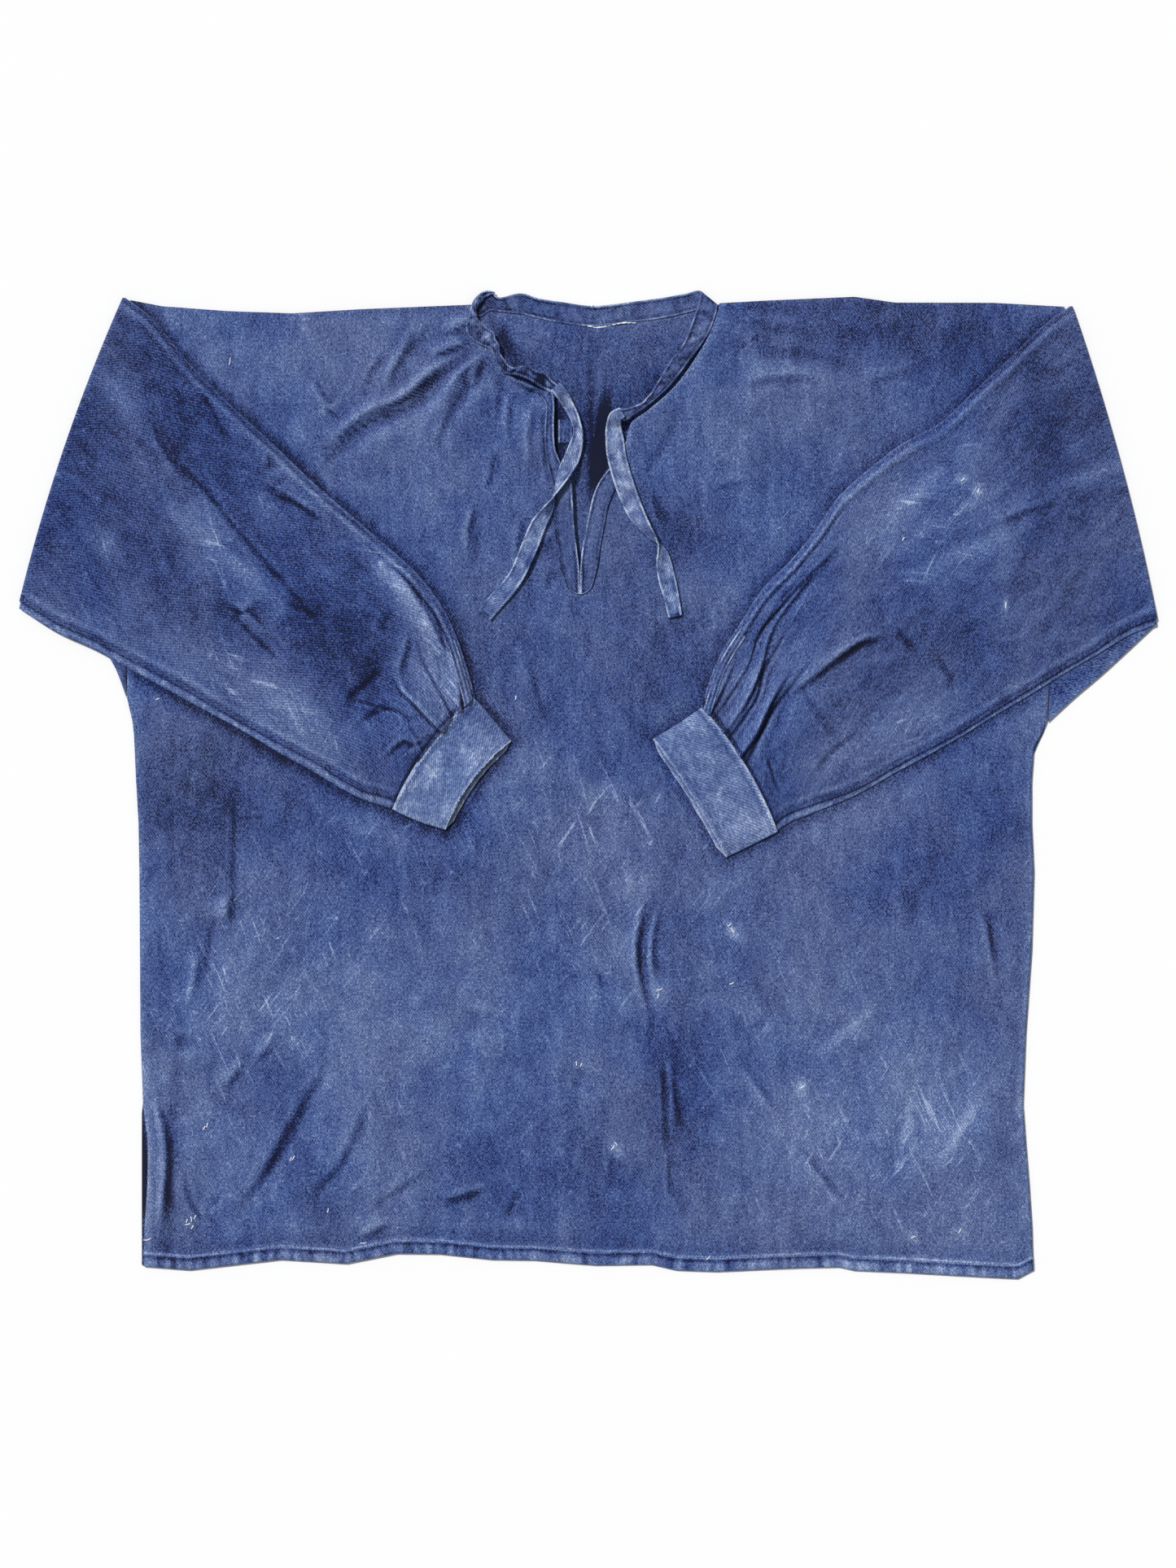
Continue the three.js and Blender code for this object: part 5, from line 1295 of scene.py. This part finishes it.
sleeve_details = (
    ("left", 1, LEFT_ROOT_RINGS, LEFT_SLEEVE_RINGS, LEFT_SLEEVE_SWELLS, LEFT_SLEEVE_CREASES,
     LEFT_SLEEVE_TONES, LEFT_SLEEVE_TONE, LEFT_SEAM_STRIP),
    ("right", -1, RIGHT_ROOT_RINGS, RIGHT_SLEEVE_RINGS, RIGHT_SLEEVE_SWELLS, RIGHT_SLEEVE_CREASES,
     RIGHT_SLEEVE_TONES, RIGHT_SLEEVE_TONE, RIGHT_SEAM_STRIP),
)
for side, hand, root, laid, swells, creases, tones, base_tone, strip_widths in sleeve_details:
    # From the armhole on the floor, over the line of the fold, and back across the front to the cuff
    root_rings = through(root + laid[:1], np.linspace(0, len(root), 14))
    fold_turns = np.radians(np.linspace(0, 180, 11)[1:-1])
    fold_rings = np.repeat(np.array(laid[:1], float), len(fold_turns), axis=0)
    laid_at = np.linspace(0, len(laid) - 1, (len(laid) - 1) * RINGS_PER_ROW + 1)
    laid_rings = through(laid, laid_at)
    rings = np.concatenate([root_rings, fold_rings, laid_rings])
    turn = np.concatenate([np.zeros(len(root_rings)), fold_turns, np.full(len(laid_rings), math.pi)])
    loose = np.concatenate([np.zeros(len(root_rings) + len(fold_rings)), ease(0, 1.4, laid_at)])
    length = np.hypot(rings[:, 2] - rings[:, 0], rings[:, 3] - rings[:, 1])
    ring_row = np.concatenate([np.zeros(len(rings) - len(laid_at)), laid_at])
    strip = look_up(strip_widths, ring_row)[:, None] + 0.5 * np.sin(1.9 * ring_row)[:, None]
    # The outside and the inside of the tube
    faces = []
    for radius in (TUBE_RADIUS, GAP / 2):
        across, height, free = sleeve_section(length, radius, strip)
        points = ring_places(rings, across, height, hand, turn)[0]
        x, y = points[..., 0], points[..., 1]
        form = 0.6 + swelled(swells, x, y) + creased(creases, x, y)
        form = form + 1.0 * uneven(x, y, 40, 6.1 * hand) + 0.6 * uneven(x, y, 16, 3.7 * hand)
        # The folded edge stands up in a roll, with a groove beside it lower down the sleeve
        low_down = ease(5, 9, ring_row)[:, None]
        roll = hump(across, 6, 5) - 0.5 * low_down * hump(across, 10, 1.8)
        form = form + EDGE_ROLL * roll * (1 + 1.4 * uneven(x, y, 45, 1.3))
        points[..., 2] += loose[:, None] * free * np.maximum(0, form)
        faces.append(points)
        if radius == TUBE_RADIUS:
            shown_across = across
            shown_free = free
    middle = (rings[:, :2] + rings[:, 2:4]) / 2
    run = run_along(middle)[:, None]
    cloth_map = np.dstack(np.broadcast_arrays(-hand * shown_across, -run))
    shape = shown_across.shape
    x, y = faces[0][..., 0], faces[0][..., 1]
    paler = toned(tones, x, y)
    tone = base_tone + paler
    # Painted shade along the feet of the creases and painted highlight along their ridges
    tone = tone + shown_free * creased(creases, x, y, shade=True)
    # The felled seam: a puckered pale ridge with a line of painted shade beside it
    seam_off = length[:, None] - strip - shown_across
    on_fell = hump(seam_off, -4, 3.4)
    tone = tone + 0.26 * on_fell + 0.12 * hump(shown_across, 0, 4)
    tone = tone - 0.24 * hump(seam_off, 0, 1.2)
    # Painted shade in the groove beside the rolled edge, lower down the sleeve
    tone = tone - 0.3 * low_down * hump(shown_across, 10, 1.5)
    tone = tone + 0.3 * uneven(shown_across, run + 0 * shown_across, 5, 2.9) * on_fell
    # Deep in the shadow of the cuff's edge
    tone = tone - 0.4 * hump(run[-1] - run, CUFF_OVER, 1.6)
    sleeve = add_wall(
        "sleeve_" + side + "_cloth",
        faces[0].reshape(-1, 3),
        faces[1].reshape(-1, 3),
        grid_quads(*shape, closed=True, turned=hand > 0),
        cloth_map.reshape(-1, 2),
        {"tone": tone.ravel(), "crest": crested(faces[0][..., 2].ravel() * shown_free.ravel(), shape, 2),
         "wear": np.clip(3.2 * paler, 0, 1).ravel()},
        body_twill,
    )
    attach(sleeve, "root")
    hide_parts("sleeve_" + side)


# Cuffs
# A doubled band of the same twill round the end of each sleeve, its seam lying over the pleats. The layer
# underneath reaches a few millimetres further than the one that shows.
CUFF_WALL_RADIUS = 1.5
CUFF_INSIDE = 0.2
CUFF_TONE = 0.57
# X, Y, reach across, reach along, lean in degrees, how much paler
CUFF_TONES = [
    (-90, 50, 22, 16, -40, -0.14), (-132, -6, 24, 30, -30, 0.06), (116, 14, 20, 18, 30, -0.08),
    (78, 40, 16, 12, 30, 0.08), (142, -34, 18, 14, 30, 0.06),
]
CUFF_LAP = 2.6
CUFF_PEEK = 3.6
MOUTH_LIFT = 2.0
CUFF_DEPTH = 46
CUFF_COLUMNS = 44
for side, hand, rows in (("left", 1, LEFT_CUFF_RINGS), ("right", -1, RIGHT_CUFF_RINGS)):
    along = np.concatenate([np.linspace(0, 0.14, 9), np.linspace(0.18, 0.84, 17), np.linspace(0.87, 1, 9)])
    rings = through(rows, (len(rows) - 1) * along)
    length = np.hypot(rings[:, 2] - rings[:, 0], rings[:, 3] - rings[:, 1])
    turn = np.full(len(rings), math.pi)
    faces = []
    for radius in (CUFF_WALL_RADIUS, CUFF_INSIDE):
        nose_turn = np.radians([-60, -20, 20, 60])
        shown = np.linspace(0, 1, CUFF_COLUMNS)
        hidden = shown[::-2]
        far_side = CUFF_COLUMNS + len(nose_turn)
        straight = (length - 2 * CUFF_WALL_RADIUS)[:, None]
        across = np.hstack([
            CUFF_WALL_RADIUS + straight * shown,
            (length - CUFF_WALL_RADIUS)[:, None] + radius * np.cos(nose_turn),
            CUFF_WALL_RADIUS + straight * hidden,
            CUFF_WALL_RADIUS - radius * np.cos(nose_turn) + 0 * straight,
        ])
        height = np.concatenate([
            np.full(len(shown), -radius), radius * np.sin(nose_turn), np.full(len(hidden), radius),
            radius * np.sin(-nose_turn),
        ])[None, :] + 0 * straight
        upper = np.zeros(across.shape[1])
        upper[:CUFF_COLUMNS] = ease(0, 0.08, shown) * ease(0, 0.08, 1 - shown)
        lower = np.zeros(across.shape[1])
        lower[far_side:far_side + len(hidden)] = ease(0, 0.1, hidden) * ease(0, 0.1, 1 - hidden)
        points, onward = ring_places(rings, across, height, hand, turn)
        # The sewn edge laps the sleeve, the lower layer peeks out at the mouth, and the mouth is frayed
        lap = -CUFF_LAP * (1 - ease(0, 0.12, along))
        reach = lap[:, None] + CUFF_PEEK * ease(0.3, 1, along)[:, None] * lower[None, :]
        frayed = uneven(points[..., 0], points[..., 1], 2.6, 8.1 * hand)
        reach = reach + 0.9 * frayed * ease(0.93, 1, along)[:, None] * (upper + lower)
        points[..., :2] += onward[:, None] * reach[..., None]
        # The upper layer stands up over its seam and at the mouth, and is crumpled
        rise = 1.1 * (1 - ease(0, 0.2, along)) + 0.7 + MOUTH_LIFT * ease(0.4, 1, along)
        x, y = points[..., 0], points[..., 1]
        crumple = 0.5 * uneven(x, y, 22, 2.2 * hand) + 0.25 * uneven(x, y, 9, 5.2 * hand)
        points[..., 2] += upper[None, :] * (rise[:, None] + crumple)
        faces.append(points)
        if radius == CUFF_WALL_RADIUS:
            shown_across = across
            # Painted shade and highlight on the crumples, with a fine mottle
            crumple_shade_and_mottle = 0.34 * crumple + 0.12 * uneven(x, y, 4.5, 6.6 * hand)
    cloth_map = np.dstack(np.broadcast_arrays(-hand * along[:, None] * CUFF_DEPTH, shown_across))
    shape = shown_across.shape
    # Pale along the mouth and the sewn edge, with painted shade in the hollow of a row of stitches beside
    # each
    rub_and_groove_shade = 0.3 * hump(1 - along, 0, 0.05) + 0.24 * hump(along, 0.02, 0.035)
    rub_and_groove_shade -= 0.16 * hump(along, 0.1, 0.03) + 0.12 * hump(along, 0.88, 0.03)
    rub_and_groove_shade = rub_and_groove_shade[:, None] + toned(CUFF_TONES, faces[0][..., 0], faces[0][..., 1])
    cuff = add_wall(
        "cuff_" + side + "_cloth",
        faces[0].reshape(-1, 3),
        faces[1].reshape(-1, 3),
        grid_quads(*shape, closed=True, turned=hand > 0),
        cloth_map.reshape(-1, 2),
        {"tone": (CUFF_TONE + rub_and_groove_shade + crumple_shade_and_mottle).ravel(), "crest": np.zeros(across.size)},
        trim_twill,
    )
    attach(cuff, "root")
    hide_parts("cuff_" + side)


# Bindings of the sleeve slits
# A narrow strip of the same twill, folded over the edges of the slit above each cuff and stitched down. It
# lies along the sleeve's shoulder side.
BINDING_IN = 3
BINDING_OUT = 12
BINDING_WALL = 1.0
BINDING_TONE = 0.38
for side, hand, rings in (("left", 1, LEFT_SLEEVE_RINGS), ("right", -1, RIGHT_SLEEVE_RINGS)):
    rows = through(rings, np.linspace(len(rings) - 3, len(rings) - 1.02, 24))
    edges = []
    for distance in (BINDING_IN, BINDING_OUT):
        points = ring_places(
            rows, np.full((len(rows), 1), distance), np.full((len(rows), 1), -TUBE_RADIUS), hand,
            np.full(len(rows), math.pi),
        )[0]
        edges.append(points[:, 0, :2])
    sleeve_name = "sleeve_" + side + "_cloth"
    binding = add_strip(
        "slit_binding_" + side + "_cloth",
        edges[0],
        edges[1],
        np.vectorize(lambda x, y: surface_at([sleeve_name], x, y), otypes=[float]),
        BINDING_WALL,
        BINDING_TONE,
        trim_twill,
        turned=hand > 0,
    )
    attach(binding, "root")
    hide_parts("slit_binding_" + side)


# Stitching
# Navy cotton thread, faded and worn flat, in rows along the neckband, the facings, the cuffs and the hem.
# A few longer stitches of white thread run along the back of the neck.
# Rows of stitches: the pieces they lie on, and X and Y of each turn of the row
NAVY_ROWS = [
    ("neckband_back_cloth back_cloth", [
        (-83.8, 408.6), (-57.9, 405.8), (-43.9, 402.4), (-22.9, 398.2), (-5.4, 395.8), (15.6, 396.2),
        (40.1, 399.4), (68.1, 403), (93, 408.6),
    ]),
    ("neckband_back_cloth back_cloth", [
        (-83.8, 410.8), (-57.9, 408), (-43.9, 404.6), (-22.9, 400.4), (-5.4, 398), (15.6, 398.4),
        (40.1, 401.6), (68.1, 405.2), (93, 410.8),
    ]),
    ("neckband_back_cloth back_cloth", [(4.2, 395.6), (4.4, 410.4)]),
    ("neckband_right_cloth", [
        (109, 411), (107.4, 403.6), (104.2, 393.8), (99.4, 384), (92.8, 374), (85.6, 364.6), (78, 354.4),
        (69.4, 343), (59.6, 333), (49.4, 325), (39.6, 317.8),
    ]),
    ("neckband_left_cloth", [
        (-101.4, 391.6), (-98.6, 384.6), (-90.4, 378.4), (-83, 373.6), (-79.4, 366.8), (-76.2, 359.4),
        (-70, 353), (-60.8, 352.2), (-50.4, 348.4), (-41.2, 343), (-32.4, 338.8),
    ]),
    ("facing_left_cloth facing_right_cloth front_cloth", [
        (-29, 254.4), (-28.6, 226.4), (-26.4, 198.4), (-20.2, 181.4), (-14.6, 170), (-7, 164.6),
        (-0.6, 169.2), (3.8, 184.4), (10, 212.4), (15.6, 240.4), (18.6, 250.9),
    ]),
    ("facing_left_cloth front_cloth", [
        (-34.4, 327.9), (-36, 303.4), (-36, 282.4), (-32, 262), (-29, 254.4),
    ]),
    ("facing_left_cloth", [
        (-30.4, 325), (-30.8, 303.4), (-30, 282.4), (-24.6, 268), (-16.4, 254.4), (-15, 240.4),
        (-13.8, 226.4), (-12, 212.4), (-10.4, 198.4), (-8.8, 184.4), (-7.8, 175),
    ]),
    ("facing_right_cloth", [
        (15.6, 268.5), (8.6, 254), (5.1, 240.4), (1.6, 226.4), (-1, 212), (-3.6, 198.4), (-5.4, 186),
        (-6, 177),
    ]),
    ("front_cloth", [
        (-377.4, -402), (-343.5, -403.4), (-321.8, -403), (-300.8, -400.6), (-279.1, -398),
        (-236.4, -397.4), (-208.4, -399.6), (-192.3, -398), (-163.6, -391.6), (-127.9, -392.4),
        (-109.7, -395.4), (-47.4, -396.4), (-29.2, -399), (6.5, -401.6), (33.1, -402.6), (54.1, -401.6),
        (75.1, -405.8), (110, -406.8), (166.1, -405), (202.5, -403.6), (223.5, -406), (272.5, -408.8),
        (332.7, -411.8), (363.5, -412.4), (377.7, -408.4),
    ]),
    ("cuff_left_cloth", [(-96.4, 70), (-110, 58.4), (-125, 41), (-140, 21.6), (-152, 3), (-164, -19.4)]),
    ("cuff_right_cloth", [
        (96.4, 61.8), (106, 48), (121, 26), (136.4, 2), (149.4, -19.6), (158.6, -38.6),
    ]),
    ("cuff_left_cloth", [(-69, 36.6), (-82, 25), (-97, 6), (-110, -13), (-122, -34)]),
    ("cuff_right_cloth", [(58.4, 38.4), (72, 21), (86, -1.6), (100, -26), (112, -48), (118, -58.6)]),
    ("front_cloth", [
        (-374.4, -281), (-372, -300), (-371.4, -321.6), (-371.8, -347.5), (-373.2, -371), (-374.6, -400),
    ]),
    ("front_cloth facing_left_cloth facing_right_cloth", [(-10.4, 171.6), (-6, 172.4), (-1.4, 172)]),
    ("front_cloth facing_left_cloth facing_right_cloth", [(-9.8, 170), (-6, 170.6), (-2, 170.2)]),
    ("sleeve_left_cloth slit_binding_left_cloth", [(-114.6, 97.4), (-110.4, 96.4)]),
    ("sleeve_left_cloth slit_binding_left_cloth", [(-112.2, 83.6), (-107.6, 82.4)]),
    ("sleeve_left_cloth slit_binding_left_cloth", [(-110.6, 69.6), (-106.4, 68.4)]),
]
WHITE_ROW = [(1.6, 393.4), (6, 392.6), (12, 393), (19.1, 394.2), (29.6, 396.2), (39.4, 396.6)]
STITCH_CLEAR = 0.05


def laid_line(names, turns, spacing):
    """Points along a smooth line, laid on the highest of the named pieces, in millimetres."""
    path = through(turns, np.linspace(0, len(turns) - 1, 40 * len(turns)))
    run = run_along(path)
    count = max(2, int(run[-1] / spacing) + 1)
    steps = np.linspace(0, run[-1], count)
    flat = np.column_stack([np.interp(steps, run, path[:, k]) for k in (0, 1)])
    return [(x, y, surface_at(names, x, y) + STITCH_CLEAR) for x, y in flat]


def add_lines(name, lines):
    """Object whose edges follow some lines of points given in millimetres."""
    points = [(x * MM, y * MM, z * MM) for line in lines for x, y, z in line]
    edges, first = [], 0
    for line in lines:
        edges += [(i, i + 1) for i in range(first, first + len(line) - 1)]
        first += len(line)
    mesh = bpy.data.meshes.new(name)
    mesh.from_pydata(points, edges, [])
    return add_object(name, mesh)


def node_group(name, numbers):
    """Empty Geometry Nodes tree with a geometry and some named numbers going in, and a material."""
    tree = bpy.data.node_groups.new(name, "GeometryNodeTree")
    tree.interface.new_socket("Geometry", in_out="INPUT", socket_type="NodeSocketGeometry")
    for label, value in numbers.items():
        kind = "NodeSocketInt" if isinstance(value, int) else "NodeSocketFloat"
        tree.interface.new_socket(label, in_out="INPUT", socket_type=kind).default_value = value
    tree.interface.new_socket("Material", in_out="INPUT", socket_type="NodeSocketMaterial")
    tree.interface.new_socket("Geometry", in_out="OUTPUT", socket_type="NodeSocketGeometry")
    return tree


def grown(thing, tree, values):
    """Gives an object a Geometry Nodes tree with its values, and turns the result into its plain mesh."""
    modifier = thing.modifiers.new(tree.name, "NODES")
    modifier.node_group = tree
    named = {item.name: item.identifier for item in tree.interface.items_tree if item.in_out == "INPUT"}
    for label, value in values.items():
        modifier[named[label]] = value
    thing.update_tag()
    depsgraph = bpy.context.evaluated_depsgraph_get()
    made = bpy.data.meshes.new_from_object(thing.evaluated_get(depsgraph))
    made.materials.clear()
    made.materials.append(values["Material"])
    thing.modifiers.clear()
    thing.data = made
    return thing


def cotton_thread(name, deep, pale):
    """Spun cotton thread, two-ply, faded more on what stands up."""
    # The plies' twist is drawn along each stitch as slanted bands 0.8 mm apart
    material, tree = new_material(name)
    place = add_node(tree, "ShaderNodeTexCoord").outputs["Object"]
    plies = add_node(
        tree,
        "ShaderNodeTexWave",
        {"Vector": place, "Scale": 390.0, "Distortion": 2.0},
        bands_direction="DIAGONAL",
    ).outputs["Fac"]
    worn = noisy(tree, place, 160.0, 3.0)
    ramp = add_node(tree, "ShaderNodeValToRGB", {"Fac": reckoned(tree, "MULTIPLY_ADD", plies, 0.3, worn)})
    for stop, (spot, shade) in zip(ramp.color_ramp.elements, ((0.3, deep), (0.85, pale))):
        stop.position = spot
        stop.color = linear(shade)
    dry = reckoned(tree, "MULTIPLY_ADD", worn, 0.3, 0.6)
    ridges = add_node(
        tree, "ShaderNodeBump", {"Height": plies, "Strength": 0.5, "Distance": 0.0002}
    ).outputs[0]
    skin = add_node(
        tree,
        "ShaderNodeBsdfPrincipled",
        {"Base Color": ramp.outputs[0], "Roughness": dry, "Normal": ridges, "Specular IOR Level": 0.25},
    )
    add_node(tree, "ShaderNodeOutputMaterial", {"Surface": skin.outputs[0]})
    return material


navy_thread = cotton_thread("faded_navy_thread", "20294f", "4b5a8c")
white_thread = cotton_thread("white_cotton_thread", "c9cdd8", "f4f5f6")

# Each stitch is a flattened bead laid along its row
stitch_tree = node_group("stitches", {
    "Pitch": 0.003, "Length": 0.0024, "Width": 0.0007, "Height": 0.0005, "Unevenness": 0.15, "Seed": 0,
})
given = add_node(stitch_tree, "NodeGroupInput").outputs
row_curve = add_node(stitch_tree, "GeometryNodeMeshToCurve", {"Mesh": given["Geometry"]}).outputs[0]
row_points = add_node(
    stitch_tree, "GeometryNodeResampleCurve", {"Curve": row_curve, "Length": given["Pitch"]}, mode="LENGTH"
).outputs[0]
along_row = add_node(stitch_tree, "GeometryNodeInputTangent").outputs[0]
turned_to_row = add_node(
    stitch_tree, "FunctionNodeAlignRotationToVector", {"Vector": along_row}, axis="X", pivot_axis="Z"
).outputs[0]
bead = add_node(
    stitch_tree, "GeometryNodeMeshUVSphere", {"Segments": 8, "Rings": 5, "Radius": 0.5}
).outputs[0]
bead_size = add_node(
    stitch_tree, "ShaderNodeCombineXYZ", {"X": given["Length"], "Y": given["Width"], "Z": given["Height"]}
).outputs[0]
bead = add_node(stitch_tree, "GeometryNodeTransform", {"Geometry": bead, "Scale": bead_size}).outputs[0]
smallest = reckoned(stitch_tree, "SUBTRACT", 1.0, given["Unevenness"])
largest = reckoned(stitch_tree, "ADD", 1.0, given["Unevenness"])
varied = add_node(stitch_tree, "FunctionNodeRandomValue", {"Seed": given["Seed"]}, data_type="FLOAT")
for socket, source in (("Min", smallest), ("Max", largest)):
    floats = [item for item in varied.inputs if item.name == socket and item.type == "VALUE"]
    stitch_tree.links.new(source, floats[0])
varied_size = [item for item in varied.outputs if item.type == "VALUE"][0]
row_stitches = add_node(
    stitch_tree,
    "GeometryNodeInstanceOnPoints",
    {"Points": row_points, "Instance": bead, "Rotation": turned_to_row, "Scale": varied_size},
).outputs[0]
row_stitches = add_node(
    stitch_tree, "GeometryNodeRealizeInstances", {"Geometry": row_stitches}
).outputs[0]
row_stitches = add_node(
    stitch_tree, "GeometryNodeSetMaterial", {"Geometry": row_stitches, "Material": given["Material"]}
).outputs[0]
add_node(stitch_tree, "NodeGroupOutput", {"Geometry": row_stitches})

navy_lines = [laid_line(names.split(), turns, 2) for names, turns in NAVY_ROWS]
navy_stitches = grown(
    add_lines("navy_stitching", navy_lines), stitch_tree, {"Material": navy_thread, "Seed": 4}
)
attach(navy_stitches, "root")

white_lines = [laid_line(["neckband_back_cloth", "back_cloth"], WHITE_ROW, 1.5)]
white_stitches = grown(
    add_lines("white_stitching", white_lines),
    stitch_tree,
    {"Material": white_thread, "Seed": 9, "Pitch": 0.0042, "Length": 0.005, "Width": 0.0014,
     "Height": 0.0009, "Unevenness": 0.25},
)
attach(white_stitches, "root")


# Loose ends, snags and lint
# Short bits of white cotton thread: yarns snagged out of the front and the sleeves, and broken threads at
# the vent and the hem.
# X, Y, length, direction in degrees, bend
SNAGS = [
    (-308, 363, 6.6, 80, 0.25), (-62, 74, 3, 80, 0.15), (-327, -293, 3.6, 75, 0.2),
    (-253, -321, 3.6, 60, 0.3), (-341, -374, 4.8, 95, 0.45), (-344, -378, 4.2, 10, 0.25),
    (21, -312, 4.8, 55, 0.4), (24, -309, 3.6, 130, 0.3), (-193, -394, 5.4, 0, 0.25),
    (279, -389, 3.6, 20, 0.25), (103, -407, 4.2, 40, 0.35), (123, -171, 3.6, 20, 0.4),
    (319, -384, 4.2, 60, 0.2), (184, -260, 3.6, 30, 0.3), (61, -176, 5.4, 10, 0.45),
    (321, 261, 3.6, 40, 0.4), (334, 251, 4.2, 70, 0.35), (358, 153, 6, 85, 0.1),
    (-379, -391, 6.6, 10, 0.45), (124, -126, 5.4, 125, 0.2), (121, -121, 3.6, 40, 0.4),
    (-10, -240, 3, 95, 0.25), (60, -182, 3, 80, 0.3), (-6, -241, 2.4, 60, 0.35), (-370, 73, 3, 20, 0.15),
    (270, 210, 3, 60, 0.25), (-329.5, -295.4, 3, 62, 0.1), (-255.2, -322.1, 3, 68, 0.1),
    (-337.6, -372.1, 3, 64, 0.1), (-344.6, -375.5, 2.6, 70, 0.1), (-339.9, -380.8, 3, 60, 0.1),
    (-223.3, -366.2, 3.4, 75, 0.2),
]
SNAG_THICKNESS = 0.00052
SNAG_POINTS = 9

strand_tree = node_group("strands", {"Thickness": 0.0004})
given = add_node(strand_tree, "NodeGroupInput").outputs
strand_curve = add_node(strand_tree, "GeometryNodeMeshToCurve", {"Mesh": given["Geometry"]}).outputs[0]
profile = add_node(
    strand_tree, "GeometryNodeCurvePrimitiveCircle", {"Resolution": 6, "Radius": given["Thickness"]}
).outputs[0]
strand = add_node(
    strand_tree,
    "GeometryNodeCurveToMesh",
    {"Curve": strand_curve, "Profile Curve": profile, "Fill Caps": True},
).outputs[0]
strand = add_node(
    strand_tree, "GeometryNodeSetMaterial", {"Geometry": strand, "Material": given["Material"]}
).outputs[0]
add_node(strand_tree, "NodeGroupOutput", {"Geometry": strand})

panels = ["front_cloth", "sleeve_left_cloth", "sleeve_right_cloth", "back_cloth"]
snag_lines = []
for x, y, length, direction, bend in SNAGS:
    heading = np.radians(direction) + bend * 2.4 * np.linspace(-0.5, 0.5, SNAG_POINTS)
    steps = np.column_stack([np.cos(heading), np.sin(heading)]) * length / SNAG_POINTS
    flat = np.array([x, y]) + np.cumsum(steps, axis=0) - steps.sum(0) / 2
    snag_lines.append([
        (px, py, surface_at(panels, px, py) + 0.35 + 0.5 * math.cos(3 * k))
        for k, (px, py) in enumerate(flat)
    ])
snags = grown(
    add_lines("loose_threads", snag_lines),
    strand_tree,
    {"Material": white_thread, "Thickness": SNAG_THICKNESS},
)
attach(snags, "root")
